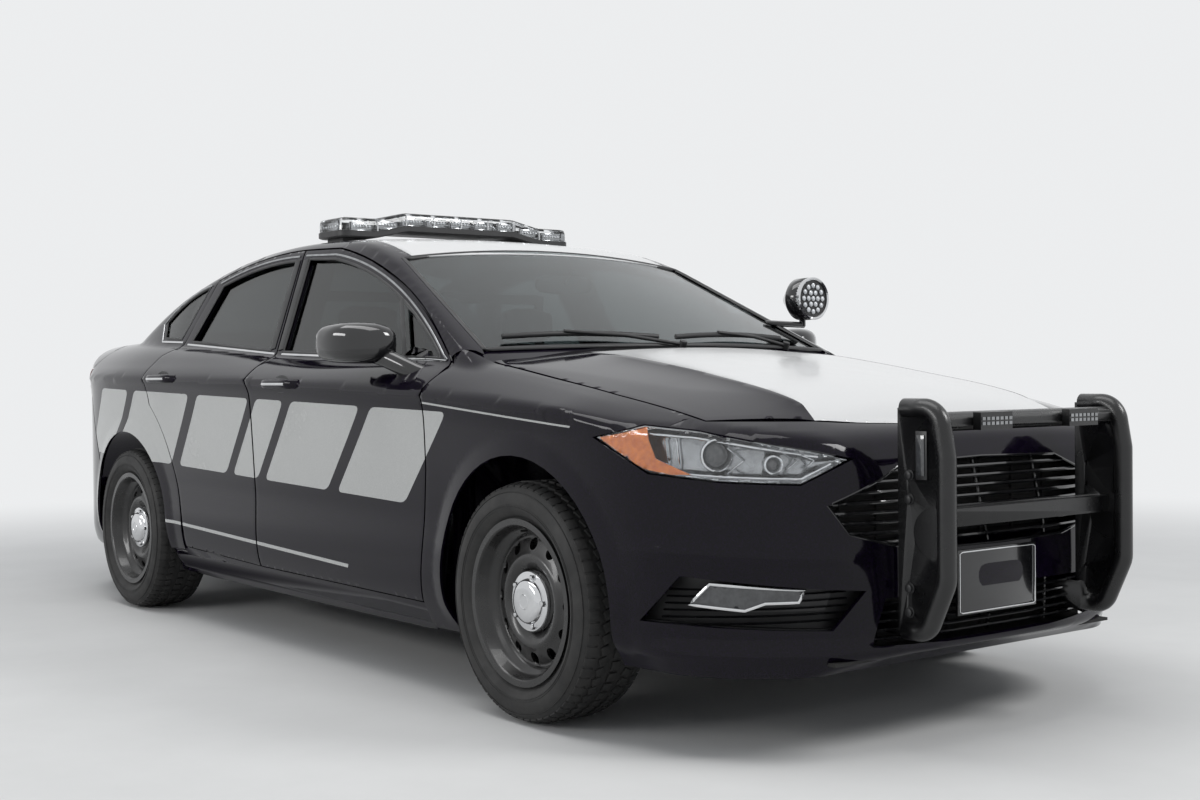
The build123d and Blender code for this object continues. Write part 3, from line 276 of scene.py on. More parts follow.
def in_outline(points, outline):
    inside = np.zeros(len(points), bool)
    x, y = points[:, 0], points[:, 1]
    for (x0, y0), (x1, y1) in zip(outline, np.roll(outline, -1, axis=0)):
        crosses = ((y0 > y) != (y1 > y))
        with np.errstate(divide="ignore", invalid="ignore"):
            at = (x1 - x0) * (y - y0) / (y1 - y0) + x0
        inside ^= crosses & (x < at)
    return inside


def fill_region(outline, holes, step, marks=(), creases=()):
    """Even triangles inside an outline and outside its holes, with edges along marks and creases."""
    loops = [dense(outline, step)] + [dense(hole, step) for hole in holes]
    points, edges = [], []
    for loop in loops + [dense(mark, step) for mark in marks]:
        start = len(points)
        points.extend(loop.tolist())
        edges.extend((start + n, start + (n + 1) % len(loop)) for n in range(len(loop)))
    for line in creases:
        line = even(line, step)
        line = line[in_outline(line, loops[0])]
        start = len(points)
        points.extend(line.tolist())
        gaps = np.hypot(*np.diff(line, axis=0).T)
        edges.extend((start + n, start + n + 1) for n in range(len(line) - 1) if gaps[n] < step * 1.6)
    low, high = loops[0].min(axis=0), loops[0].max(axis=0)
    rows = np.arange(low[1] + step / 2, high[1], step * 0.866)
    grid = []
    for n, v in enumerate(rows):
        us = np.arange(low[0] + (step / 2 if n % 2 else 0), high[0], step)
        grid.extend((u, v) for u in us)
    grid = np.array(grid)
    keep = in_outline(grid, loops[0])
    for loop in loops[1:]:
        keep &= ~in_outline(grid, loop)
    border = np.array(points)
    if keep.any():
        grid = grid[keep]
        far = np.ones(len(grid), bool)
        for part in np.array_split(np.arange(len(grid)), max(1, len(grid) // 2000)):
            gap = np.min(np.hypot(grid[part, None, 0] - border[None, :, 0], grid[part, None, 1] - border[None, :, 1]),
                         axis=1)
            far[part] = gap > step * 0.55
        points.extend(grid[far].tolist())
    verts, _, faces, *_ = delaunay_2d_cdt([Vector(p) for p in points], edges, [], 0, 1e-6)
    uv = np.array([(v.x, v.y) for v in verts])
    tri = np.array([f for f in faces if len(f) == 3])
    mid = uv[tri].mean(axis=1)
    keep = in_outline(mid, loops[0])
    for loop in loops[1:]:
        keep &= ~in_outline(mid, loop)
    return uv, tri[keep]


def sheet_mesh(name, points, tri, thick, roll, outward):
    """A panel: its outer face, its inner face and its edge, the border rolled in a little."""
    a, b, c = points[tri[:, 0]], points[tri[:, 1]], points[tri[:, 2]]
    face = np.cross(b - a, c - a)
    if np.einsum("ij,ij->i", face, outward((a + b + c) / 3)).sum() < 0:
        tri = tri[:, ::-1]
        face = -face
    normal = np.zeros_like(points)
    for k in range(3):
        np.add.at(normal, tri[:, k], face)
    normal /= np.maximum(np.linalg.norm(normal, axis=1), 1e-12)[:, None]
    sides = {}
    for t in tri:
        for u, v in ((t[0], t[1]), (t[1], t[2]), (t[2], t[0])):
            sides[(u, v)] = True
    rim = [(u, v) for u, v in sides if (v, u) not in sides]
    edge = np.unique(np.array(rim).ravel())
    top = points.copy()
    top[edge] -= normal[edge] * roll
    under = points - normal * thick
    count = len(points)
    faces = tri.tolist() + (tri[:, ::-1] + count).tolist()
    faces += [(v, u, u + count, v + count) for u, v in rim]
    mesh = bpy.data.meshes.new(name)
    mesh.from_pydata(np.vstack((top, under)).tolist(), [], faces)
    mesh.validate()
    mesh.update()
    mesh.shade_smooth()
    border = {tuple(sorted(e)) for e in rim} | {tuple(sorted((u + count, v + count))) for u, v in rim}
    for e in mesh.edges:
        if tuple(sorted(e.vertices)) in border:
            e.use_edge_sharp = True
    return mesh


def add_piece(name, mesh, material, body, replaced=()):
    piece = bpy.data.objects.new(name, mesh)
    bpy.context.scene.collection.objects.link(piece)
    if material:
        mesh.materials.clear()
        mesh.materials.append(material)
    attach(piece, body)
    if replaced:
        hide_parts(*replaced)
    return piece


def mirrored(mesh, name):
    """The same mesh on the other side of the car, with its faces outwards."""
    other = mesh.copy()
    other.name = name
    other.transform(Matrix.Diagonal((1, -1, 1, 1)))
    other.flip_normals()
    return other


def outward_side(points):
    return np.column_stack((points[:, 0] * 0, points[:, 1], points[:, 0] * 0 + 0.2))


def outward_all(points):
    return np.column_stack((points[:, 0] * 0.3, points[:, 1], points[:, 2] - 0.6))


# Pressed lines: the shoulder in x and z, the hood's ridge in x and y, the width of the flared arches, the bumper's fold
SHOULDER = np.array([(-1.517, 0.961), (-0.093, 0.942), (1.000, 0.901), (1.791, 0.844)])
HOOD_RIDGE = np.array([(1.10, 0.446), (1.66, 0.440), (2.09, 0.466), (2.22, 0.475)])
FLARE, FOLD_Z = 0.055, 0.500


def blend(value, low, high):
    """Nought up to low, one from high on, eased between."""
    t = np.clip((value - low) / (high - low), 0, 1)
    return t * t * (3 - 2 * t)


def relief(points):
    """Creases pressed in the panels: shoulder line, flared arches, hood ridges, bumper folds and lip."""
    x, y, z = points[:, 0], np.abs(points[:, 1]), points[:, 2]
    flank = blend(y, 0.76, 0.82) * blend(z, 1.03, 0.99)
    away = np.abs(z - np.interp(x, SHOULDER[:, 0], SHOULDER[:, 1]))
    up = 0.012 * np.exp(-away / 0.030) * blend(x, 1.86, 1.60) * blend(x, -2.25, -1.9) * flank
    for axle in (FRONT_AXLE_X, REAR_AXLE_X):
        ring = np.hypot(x - axle, z - ARCH_Z)
        up += 0.010 * np.clip((ARCH_R + FLARE - ring) / FLARE, 0, 1) * flank * blend(z, 0.20, 0.30)
    ridge = np.abs(y - np.interp(x, HOOD_RIDGE[:, 0], HOOD_RIDGE[:, 1]))
    top = blend(x, 1.12, 1.40) * blend(x, 2.20, 2.05) * blend(y, 0.72, 0.66) * (z > 0.74)
    up += 0.013 * np.exp(-ridge / 0.055) * top
    front = blend(x, 1.84, 2.0)
    fold = np.abs(z - FOLD_Z - 0.05 * (y - 0.60))
    up += 0.012 * np.exp(-fold / 0.035) * front * blend(y, 0.44, 0.56)
    up += 0.012 * np.exp(-((z - 0.262) / 0.016) ** 2) * front
    return up


def lift(points, amount):
    """Points moved out along the body's own surface direction, with its pressed creases."""
    step = 1e-4
    grad = np.column_stack([
        body_depth(points + np.eye(3)[k] * step) - body_depth(points - np.eye(3)[k] * step) for k in range(3)])
    grad /= np.maximum(np.linalg.norm(grad, axis=1), 1e-12)[:, None]
    return points - grad * (amount + relief(points))[:, None]


# Effects shared by the materials

def new_group(name, inputs, outputs):
    group = bpy.data.node_groups.new(name, "ShaderNodeTree")
    for title, kind, value in inputs:
        socket = group.interface.new_socket(name=title, in_out="INPUT", socket_type=kind)
        if value is not None:
            socket.default_value = value
    for title, kind in outputs:
        group.interface.new_socket(name=title, in_out="OUTPUT", socket_type=kind)
    return group, group.nodes.new("NodeGroupInput"), group.nodes.new("NodeGroupOutput")


def wire(tree, *links):
    """Links, each given as a node, its output, a node and its input."""
    for source, out, sink, into in links:
        tree.links.new(source.outputs[out], sink.inputs[into])


def put(tree, kind, **values):
    """A node with its properties and the values of its sockets."""
    node = tree.nodes.new(kind)
    for key, value in values.items():
        if hasattr(node, key) and key not in node.inputs:
            setattr(node, key, value)
        else:
            node.inputs[key.replace("_", " ")].default_value = value
    return node


def make_grain_group():
    """Fine grain of moulded plastic, rubber and cloth: a mask and a height."""
    group, source, sink = new_group(
        "Surface grain", [("Vector", "NodeSocketVector", None), ("Scale", "NodeSocketFloat", 400.0)],
        [("Mask", "NodeSocketFloat"), ("Height", "NodeSocketFloat")])
    noise = put(group, "ShaderNodeTexNoise", Detail=3.0, Roughness=0.6)
    cells = put(group, "ShaderNodeTexVoronoi", feature="SMOOTH_F1")
    blend = put(group, "ShaderNodeMath", operation="MULTIPLY")
    for node in (noise, cells):
        wire(group, (source, "Vector", node, "Vector"), (source, "Scale", node, "Scale"))
    wire(group, (noise, "Fac", blend, 0), (cells, "Distance", blend, 1), (noise, "Fac", sink, "Mask"),
         (blend, 0, sink, "Height"))
    return group


def make_wear_group():
    """Slow blotches of dust and handling, between two limits."""
    group, source, sink = new_group(
        "Dust and wear",
        [("Vector", "NodeSocketVector", None), ("Scale", "NodeSocketFloat", 6.0), ("Clean", "NodeSocketFloat", 0.0),
         ("Worn", "NodeSocketFloat", 1.0)], [("Value", "NodeSocketFloat")])
    noise = put(group, "ShaderNodeTexNoise", Detail=6.0, Roughness=0.65)
    span = put(group, "ShaderNodeMapRange")
    span.inputs["From Min"].default_value = 0.35
    span.inputs["From Max"].default_value = 0.68
    wire(group, (source, "Vector", noise, "Vector"), (source, "Scale", noise, "Scale"),
         (noise, "Fac", span, "Value"), (source, "Clean", span, "To Min"), (source, "Worn", span, "To Max"),
         (span, "Result", sink, "Value"))
    return group


def make_flake_group():
    """Sparse coloured flakes in dark paint."""
    group, source, sink = new_group(
        "Paint flake", [("Vector", "NodeSocketVector", None), ("Scale", "NodeSocketFloat", 900.0),
                        ("Base", "NodeSocketColor", (0.004, 0.003, 0.007, 1)),
                        ("Flake", "NodeSocketColor", (0.05, 0.02, 0.10, 1))],
        [("Color", "NodeSocketColor")])
    cells = put(group, "ShaderNodeTexVoronoi")
    pick = put(group, "ShaderNodeMapRange")
    pick.inputs["From Min"].default_value = 0.62
    pick.inputs["From Max"].default_value = 1.0
    split = group.nodes.new("ShaderNodeSeparateColor")
    mix = put(group, "ShaderNodeMix", data_type="RGBA")
    wire(group, (source, "Vector", cells, "Vector"), (source, "Scale", cells, "Scale"), (cells, "Color", split, 0),
         (split, 0, pick, "Value"), (pick, "Result", mix, "Factor"), (source, "Base", mix, "A"),
         (source, "Flake", mix, "B"), (mix, "Result", sink, "Color"))
    return group


GRAIN = make_grain_group()
WEAR = make_wear_group()
FLAKE = make_flake_group()


def start_material(name):
    material = bpy.data.materials.new(name)
    material.use_nodes = True
    tree = material.node_tree
    return material, tree, tree.nodes["Principled BSDF"], tree.nodes.new("ShaderNodeTexCoord")


def group_node(tree, group, **values):
    node = tree.nodes.new("ShaderNodeGroup")
    node.node_tree = group
    for key, value in values.items():
        node.inputs[key].default_value = value
    return node


def finish_of(name, dark, pale, rough=(0.3, 0.5), metallic=0.0, grain=400.0, bump=0.0, coat=0.0, dust=6.0, sheen=0.0):
    """A moulded, painted or metal finish: two tones, uneven gloss and a fine grain."""
    material, tree, shader, place = start_material(name)
    wear = group_node(tree, WEAR, Scale=dust, Clean=rough[0], Worn=rough[1])
    tone = group_node(tree, WEAR, Scale=dust * 1.7, Clean=0.0, Worn=1.0)
    mix = put(tree, "ShaderNodeMix", data_type="RGBA")
    mix.inputs["A"].default_value = (*dark, 1)
    mix.inputs["B"].default_value = (*pale, 1)
    for node in (wear, tone):
        wire(tree, (place, "Object", node, "Vector"))
    wire(tree, (tone, "Value", mix, "Factor"), (mix, "Result", shader, "Base Color"),
         (wear, "Value", shader, "Roughness"))
    if bump:
        fine = group_node(tree, GRAIN, Scale=grain)
        height = put(tree, "ShaderNodeBump", Distance=0.001, Strength=bump)
        wire(tree, (place, "Object", fine, "Vector"), (fine, "Height", height, "Height"),
             (height, "Normal", shader, "Normal"))
    shader.inputs["Metallic"].default_value = metallic
    shader.inputs["Coat Weight"].default_value = coat
    shader.inputs["Coat Roughness"].default_value = 0.03
    shader.inputs["Sheen Weight"].default_value = sheen
    return material


def paint_of(name, base, flake, rough=(0.06, 0.10), coat=0.12, shine=0.16):
    material = finish_of(name, base, base, rough=rough, dust=2.0)
    tree = material.node_tree
    shader = tree.nodes["Principled BSDF"]
    place = tree.nodes["Texture Coordinate"]
    cells = group_node(tree, FLAKE, Base=(*base, 1), Flake=(*flake, 1))
    wire(tree, (place, "Object", cells, "Vector"), (cells, "Color", shader, "Base Color"))
    shader.inputs["Coat Roughness"].default_value = 0.02
    shader.inputs["Coat Weight"].default_value = coat
    shader.inputs["Specular IOR Level"].default_value = shine
    return material


def glass_of(name, colour, rough=0.0, ior=1.45):
    material, tree, shader, place = start_material(name)
    wear = group_node(tree, WEAR, Scale=3.0, Clean=rough, Worn=rough + 0.02)
    wire(tree, (place, "Object", wear, "Vector"), (wear, "Value", shader, "Roughness"))
    shader.inputs["Base Color"].default_value = (*colour, 1)
    shader.inputs["Transmission Weight"].default_value = 1.0
    shader.inputs["IOR"].default_value = ior
    return material


PAINT = paint_of("Black pearl paint", (0.0016, 0.0013, 0.0028), (0.012, 0.005, 0.024))
WHITE = paint_of("White wrap film", (0.66, 0.66, 0.655), (0.70, 0.70, 0.695), rough=(0.16, 0.24), shine=0.4)
GREY_FILM = paint_of("Grey marking film", (0.47, 0.475, 0.465), (0.58, 0.585, 0.575), rough=(0.18, 0.28))
TRIM = finish_of("Satin black trim", (0.012, 0.012, 0.013), (0.022, 0.022, 0.023), rough=(0.38, 0.55), bump=0.15)
GLOSS_BLACK = finish_of("Gloss black plastic", (0.006, 0.006, 0.007), (0.010, 0.010, 0.011), rough=(0.08, 0.16),
                        coat=0.6)
POWDER = finish_of("Black powder coat", (0.004, 0.004, 0.0045), (0.009, 0.009, 0.0095), rough=(0.24, 0.34), bump=0.35,
                   grain=900, coat=0.15)
RUBBER = finish_of("Tyre rubber", (0.012, 0.012, 0.012), (0.026, 0.025, 0.024), rough=(0.62, 0.82), bump=0.25,
                   grain=700,
                   dust=9)
STEEL_BLACK = finish_of("Black steel wheel", (0.008, 0.008, 0.008), (0.016, 0.015, 0.015), rough=(0.22, 0.40), coat=0.3,
                        dust=14)
CHROME = finish_of("Chrome", (0.62, 0.63, 0.64), (0.72, 0.72, 0.73), rough=(0.05, 0.14), metallic=1.0)
STEEL = finish_of("Bare steel", (0.22, 0.22, 0.22), (0.34, 0.33, 0.32), rough=(0.35, 0.55), metallic=1.0, dust=20)
CAST = finish_of("Cast iron", (0.05, 0.048, 0.046), (0.10, 0.09, 0.08), rough=(0.6, 0.8), metallic=0.6, bump=0.3,
                 dust=16)
ALLOY = finish_of("Cast alloy", (0.30, 0.30, 0.30), (0.42, 0.42, 0.41), rough=(0.4, 0.6), metallic=0.9, bump=0.2,
                  dust=12)
DASH_PLASTIC = finish_of("Dash plastic", (0.018, 0.018, 0.020), (0.030, 0.030, 0.032), rough=(0.6, 0.75), bump=0.4,
                         grain=520)
CUSHION_CLOTH = finish_of("Cushion cloth", (0.022, 0.022, 0.024), (0.045, 0.045, 0.048), rough=(0.8, 0.95), bump=0.6,
                          grain=650, sheen=0.3)
UNDER = finish_of("Underbody coat", (0.010, 0.010, 0.010), (0.022, 0.021, 0.020), rough=(0.7, 0.9), bump=0.4, grain=200)
LAMP_WHITE = glass_of("Clear lamp plastic", (0.96, 0.97, 0.98), ior=1.40)
LAMP_RED = glass_of("Red lamp plastic", (0.55, 0.01, 0.012), rough=0.03)
RED_FACE = finish_of("Red reflector", (0.30, 0.004, 0.006), (0.45, 0.008, 0.010), rough=(0.14, 0.26), coat=1.0,
                     bump=0.4,
                     grain=260, dust=40)
TINT = glass_of("Tinted glass", (0.11, 0.13, 0.13))
CLEAR_GLASS = glass_of("Windscreen glass", (0.24, 0.29, 0.30))

NODE_FINISH = {
    "body_shell": PAINT, "roof_panel": WHITE, "front_fenders": PAINT, "front_bumper": PAINT, "rear_bumper": PAINT,
    "grille": GLOSS_BLACK, "headlamps": LAMP_WHITE, "tail_lamps": LAMP_RED, "fog_lamps": TRIM,
    "windscreen": CLEAR_GLASS,
    "rear_windows": TINT, "push_bumper": POWDER, "light_bar_base": TRIM, "light_bar_lens": LAMP_WHITE,
    "spotlight": GLOSS_BLACK, "cowl_panel": TRIM, "dashboard": DASH_PLASTIC, "front_seats": CUSHION_CLOTH,
    "rear_seat": CUSHION_CLOTH, "partition": TRIM, "engine_block": ALLOY, "front_subframe": CAST, "rear_axle": CAST,
    "exhaust": STEEL, "fuel_tank": UNDER, "hood": PAINT, "trunk_lid": PAINT, "steering_wheel": DASH_PLASTIC,
    "knuckle": CAST, "front_door": PAINT, "rear_door": PAINT, "front_door_glass": TINT, "rear_door_glass": TINT,
    "tyre": RUBBER, "wheel": STEEL_BLACK,
}


def finish_for(node):
    for key in (node, node.rsplit("_", 1)[0], node.rsplit("_", 2)[0]):
        if key in NODE_FINISH:
            return NODE_FINISH[key]
    raise KeyError(node)


for node, thing in frame["nodes"].items():
    thing.data.materials.clear()
    thing.data.materials.append(finish_for(node))


def smooth_copy(node, angle=34.0):
    """A CAD node's own shape with its curved faces shaded smooth."""
    mesh = frame["nodes"][node].data.copy()
    mesh.name = node + "_smooth"
    work = bmesh.new()
    work.from_mesh(mesh)
    bmesh.ops.remove_doubles(work, verts=work.verts, dist=1e-5)
    work.to_mesh(mesh)
    work.free()
    mesh.shade_smooth()
    mesh.set_sharp_from_angle(angle=math.radians(angle))
    add_piece(node + "_skin", mesh, finish_for(node), NODE_BODY[node], (node,))


# Outer panels, each drawn on the car's own surface

MAP_STEP = 16.0  # how far apart the points of a straight cut line lie, in millimetres
FLANK_STEP, NOSE_STEP, TAIL_STEP, ROOF_STEP = 0.012, 0.015, 0.025, 0.045  # edge lengths of the panels' triangles
SIDE_LEAN = (0, -1, 0.35)  # outwards at the side glass
DIAGONAL = math.sqrt(0.5)


def arc_list(p, q, r, count):
    return [tuple(v) for v in arc_points(p, q, r, count)]


def trace(items, count=12):
    """Corners in millimetres to an outline in metres; an item that holds two corners is an arc through the first."""
    points = [items[0]]
    for item in list(items[1:]) + [items[0]]:
        if isinstance(item[0], tuple):
            points.extend(map(tuple, arc_points(points[-1], item[0], item[1], count)[1:]))
        elif item != points[-1]:
            points.append(item)
    if np.hypot(*(np.array(points[0]) - points[-1])) < 1e-6:
        points.pop()
    return np.array(points, float) / 1000


def in_metres(pairs, fine):
    """Pairs in millimetres to metres, with points between them where the line has to stay straight."""
    return (even(pairs, MAP_STEP) if fine else np.array(pairs, float)) / 1000


def side_points(pairs, fine=True):
    return onto_side(in_metres(pairs, fine))


def top_points(pairs, fine=True):
    """Points on the top of the right-hand half, given as x and distance from the middle."""
    p = in_metres(pairs, fine)
    return onto_top(np.column_stack((p[:, 0], -p[:, 1])))


def corner_points(pairs, fine=True):
    """Points seen from the right front corner at 45 degrees, given as distance along and height."""
    p = in_metres(pairs, fine)
    inner = np.column_stack((DIAGONAL * (p[:, 0] + 1.0), DIAGONAL * (p[:, 0] - 1.0), p[:, 1]))
    return cast(inner, inner + np.array((DIAGONAL, -DIAGONAL, 0)) * 2.0)


def front_points(pairs, fine=True):
    """Points on the nose, given as y and height."""
    p = in_metres(pairs, fine)
    inner = np.column_stack((p[:, 0] * 0 + 1.5, p[:, 0], p[:, 1]))
    return cast(inner, inner + np.array((1.5, 0, 0)))


def arch_run(x, start, end, count=22, radius=ARCH_R):
    """Points along a wheel arch on the right flank, from one angle to another."""
    angles = np.radians(np.linspace(start, end, count))
    return side_points(np.column_stack(((x + radius * np.cos(angles)) * 1000,
                                        (ARCH_Z + radius * np.sin(angles)) * 1000)))


ROUND_SCALE = 0.45


def to_round(points):
    return np.column_stack((points[:, 0], round_angle(points) * ROUND_SCALE))


def from_round(uv):
    return onto_round(np.column_stack((uv[:, 0], uv[:, 1] / ROUND_SCALE)))


def to_end(points, end="front"):
    sign = 1 if end == "front" else -1
    return np.column_stack((np.arctan2(points[:, 1], sign * (points[:, 0] - END_X[end])), points[:, 2]))


def panel(name, outline, holes, step, place, body, material, thick=0.004, roll=0.0004, proud=0.001, replaced=(),
          outward=outward_all, both=None, marks=(), creases=()):
    """A panel on one side or across the middle, and its twin on the other side where both names a body for it."""
    uv, tri = fill_region(outline, holes, step, [mark for mark, _ in marks], creases)
    points = lift(place(uv), proud)
    mesh = sheet_mesh(name, points, tri, thick, roll, outward)
    mesh.materials.append(material)
    which = np.zeros(len(mesh.polygons), np.int32)
    mid = uv[tri].mean(axis=1)
    for mark, film in marks:
        if film.name not in mesh.materials:
            mesh.materials.append(film)
        which[:len(tri)][in_outline(mid, mark)] = mesh.materials.find(film.name)
    mesh.polygons.foreach_set("material_index", which)
    made = [add_piece(name, mesh, None, body, replaced if not both else ())]
    if both:
        made.append(add_piece(both[0], mirrored(mesh, both[0]), None, both[1], replaced))
    return made


# Cut lines of the car, in millimetres: x and z on the flank, x and y on the top, y and z on the nose
HOOD = [(1090, -738), ((1205, 0), (1090, 738)), (1700, 754), (2030, 736), (2170, 495), ((2222, 0), (2170, -495)),
        (2030, -736), (1700, -754)]
FRONT_DOOR = [(900, 276), (962, 677), (972, 960), (944, 1006), ((480, 1262), (-51, 1416)), (-326, 1428), (-258, 1045),
              (-211, 900), (-211, 282)]
REAR_DOOR = [(-221, 282), (-221, 900), (-268, 1045), (-336, 1428), ((-800, 1398), (-1034, 1352)), (-1150, 1092),
             (-1212, 1050), (-1150, 850), ((-960, 640), (-868, 300))]
FRONT_WINDOW = [(880, 1014), ((430, 1246), (-60, 1378)), (-262, 1390), (-208, 1052)]
REAR_WINDOW = [(-318, 1058), (-372, 1390), ((-700, 1374), (-965, 1326)), (-1072, 1108)]
QUARTER_WINDOW = [(-1196, 1120), (-1098, 1326), ((-1250, 1284), (-1420, 1192)), (-1380, 1130)]
LAMP_POCKET_LOW = [(743, 722), (770, 706), (949, 687), (1149, 679), (1280, 742)]
LAMP_POCKET_HIGH = [(1280, 742), (1198, 761), (894, 817), (822, 824)]
LAMP_POCKET_REAR = [(822, 824), (761, 830), (619, 796), (743, 722)]
FOG_POCKET = [(745, 338), (850, 456), (1308, 414), (1225, 320)]
GRILLE = [(-554, 629), (-381, 697), (-314, 724), (0, 731), (314, 724), (381, 697), (554, 629), (500, 554), (384, 524),
          (296, 509), (0, 505), (-296, 509), (-384, 524), (-500, 554)]
LOWER_INTAKE = [(-440, 276), (-400, 391), ((0, 398), (400, 391)), (440, 276), ((0, 268), (-440, 276))]


# Film: the white middle of the hood, slanted plain blocks along the flanks, a narrow line near the sill
HOOD_FILM = [(1080, -440), (1660, -436), (2090, -462), (2170, -495), ((2222, 0), (2170, 495)), (2090, 462), (1660, 436),
             (1080, 440), ((1195, 0), (1080, -440))]
BLOCK_FEET = ((-1.891, -1.570), (-1.500, -0.965), (-0.885, -0.455), (-0.395, -0.190), (-0.130, 0.330), (0.400, 0.829))
SILL_LINE = [(-1043, 386), (456, 338), (462, 350), (-1037, 398)]
FENDER_LINE = [(968, 876), (1690, 818), (1694, 823), (970, 882)]


def rounded(corners, radius, count=5):
    """A closed outline with its corners rounded."""
    pts = np.array(corners, float)
    out = []
    for n in range(len(pts)):
        p, a, b = pts[n], pts[n - 1], pts[(n + 1) % len(pts)]
        u, v = (a - p) / np.linalg.norm(a - p), (b - p) / np.linalg.norm(b - p)
        s, e = p + u * radius, p + v * radius
        for t in np.linspace(0, 1, count):
            out.append((1 - t) ** 2 * s + 2 * t * (1 - t) * p + t ** 2 * e)
    return np.array(out)


def flank_marks():
    """The slanted blocks and lines, as x and z."""
    marks = []
    for a, b in BLOCK_FEET:
        corners = []
        for x, top in ((a, 0), (b, 0), (b, 1), (a, 1)):
            foot = 0.643 - 0.0268 * (x + 1.891)
            slant = 0.182 + 0.033 * (x + 1.891)
            head = 0.919 - 0.0238 * (x + slant + 1.714)
            corners.append((x + slant, head) if top else (x, foot))
        marks.append(rounded(corners, 0.030))
    return marks + [np.array(SILL_LINE) / 1000, np.array(FENDER_LINE) / 1000]


FLANK_MARKS = flank_marks()
MARKS_SIDE = [(mark, GREY_FILM) for mark in FLANK_MARKS]
MARKS_ROUND = [(to_round(onto_side(dense(mark, 0.016))), GREY_FILM) for mark in FLANK_MARKS]


def flare_line(x):
    angles = np.radians(np.linspace(-30, 210, 90))
    return np.column_stack((x + (ARCH_R + FLARE) * np.cos(angles), ARCH_Z + (ARCH_R + FLARE) * np.sin(angles)))


SHOULDER_ROUND = to_round(onto_side(even(SHOULDER, 0.016)))
HOOD_CREASES = [HOOD_RIDGE, HOOD_RIDGE * np.array((1, -1))]


def build_hood():
    panel("hood_panel", trace(HOOD), [], NOSE_STEP, onto_top, "hood", PAINT, thick=0.006, replaced=("hood",),
          outward=lambda p: np.array([[0.1, 0, 1.0]] * len(p)), marks=[(trace(HOOD_FILM), WHITE)], creases=HOOD_CREASES)


def build_fenders():
    outline = np.vstack((
        side_points([(907, 196), (907, 276), (969, 677), (979, 960)]),
        top_points([(979, 778), (1083, 748), (1400, 757), (1700, 761), (1860, 753), (1990, 746)]),
        corner_points(LAMP_POCKET_REAR), side_points([(1716, 629)]), arch_run(FRONT_AXLE_X, 45.5, 201)))
    panel("front_fender_right", to_round(outline), [], FLANK_STEP, from_round, "root", PAINT, thick=0.008,
          both=("front_fender_left", "root"), replaced=("front_fenders",), marks=MARKS_ROUND,
          creases=[SHOULDER_ROUND, to_round(onto_side(flare_line(FRONT_AXLE_X)))])


def flip_y(points):
    return points[::-1] * np.array((1, -1, 1))


def build_front_bumper():
    arch = arch_run(FRONT_AXLE_X, -19.5, 45.5, 10)
    hood_edge = trace([(2034, 742), (2174, 499), ((2228, 0), (2174, -499)), (2034, -742)])
    hood_edge = onto_top(hood_edge[::-1])
    right = np.vstack((arch, side_points([(1716, 629), (1906, 722)]), corner_points(LAMP_POCKET_LOW),
                       corner_points(LAMP_POCKET_HIGH)[1:], top_points([(1990, 746)])))
    outline = to_end(np.vstack((right, hood_edge, flip_y(right))))
    fog = to_end(corner_points(FOG_POCKET))
    holes = [fog, fog * np.array((-1, 1)), to_end(front_points(GRILLE)),
             to_end(front_points(trace(LOWER_INTAKE) * 1000))]
    fold = onto_end(np.column_stack((np.linspace(-1.2, 1.2, 161), np.full(161, FOLD_Z))), "front")
    fold[:, 2] = FOLD_Z + 0.05 * (np.abs(fold[:, 1]) - 0.60)
    folds = [to_end(fold[fold[:, 1] > 0.5]), to_end(fold[fold[:, 1] < -0.5])]
    flare = onto_side(flare_line(FRONT_AXLE_X))
    folds += [to_end(flare), to_end(flare * np.array((1, -1, 1)))]
    folds += [np.column_stack((np.linspace(-1.1, 1.1, 150), np.full(150, z))) for z in (0.246, 0.262)]
    panel("front_bumper_cover", outline, holes, NOSE_STEP, lambda uv: onto_end(uv, "front"), "root", PAINT, thick=0.016,
          replaced=("front_bumper",), outward=lambda p: p - np.array((1.2, 0, 0.5)), creases=folds)


def build_doors():
    for name, outline, window in (("front_door", FRONT_DOOR, FRONT_WINDOW), ("rear_door", REAR_DOOR, REAR_WINDOW)):
        panel(name + "_skin_right", trace(outline), [trace(window)], FLANK_STEP, onto_side, name + "_right", PAINT,
              thick=0.003, outward=outward_side, both=(name + "_skin_left", name + "_left"), marks=MARKS_SIDE,
              creases=[SHOULDER, flare_line(REAR_AXLE_X)])


build_hood()
build_fenders()
build_front_bumper()
build_doors()


def screen_points(pairs, way=1, fine=True):
    """Points on the windscreen side of the glasshouse, or with way -1 on its rear side, given as y and height."""
    p = in_metres(pairs, fine)
    inner = np.column_stack((p[:, 0] * 0 - 0.3, p[:, 0], p[:, 1]))
    return cast(inner, inner + np.array((way * 2.2, 0, 0)))


def tail_points(pairs, fine=True):
    """Points on the tail, given as y and height."""
    p = in_metres(pairs, fine)
    inner = np.column_stack((p[:, 0] * 0 - 2.0, p[:, 0], p[:, 1]))
    return cast(inner, inner - np.array((0.8, 0, 0)))


def onto_tail(uv):
    """Points given as y and an angle up from straight back, over the edge of the trunk lid."""
    y, angle = uv[:, 0], uv[:, 1] / TAIL_SCALE
    inner = np.column_stack((y * 0 + TAIL_X0, y, y * 0 + TAIL_Z0))
    return cast(inner, inner + np.column_stack((-np.cos(angle), y * 0, np.sin(angle))) * 1.2)


def to_tail(points):
    angle = np.arctan2(points[:, 2] - TAIL_Z0, TAIL_X0 - points[:, 0])
    return np.column_stack((points[:, 1], angle * TAIL_SCALE))


TAIL_X0, TAIL_Z0, TAIL_SCALE = -1.95, 0.78, 0.5  # the line that the trunk lid is cast from
ROOF_SKIN = [(345, -566), ((392, 0), (345, 566)), (0, 560), (-860, 528), ((-935, 0), (-860, -528)), (0, -560)]


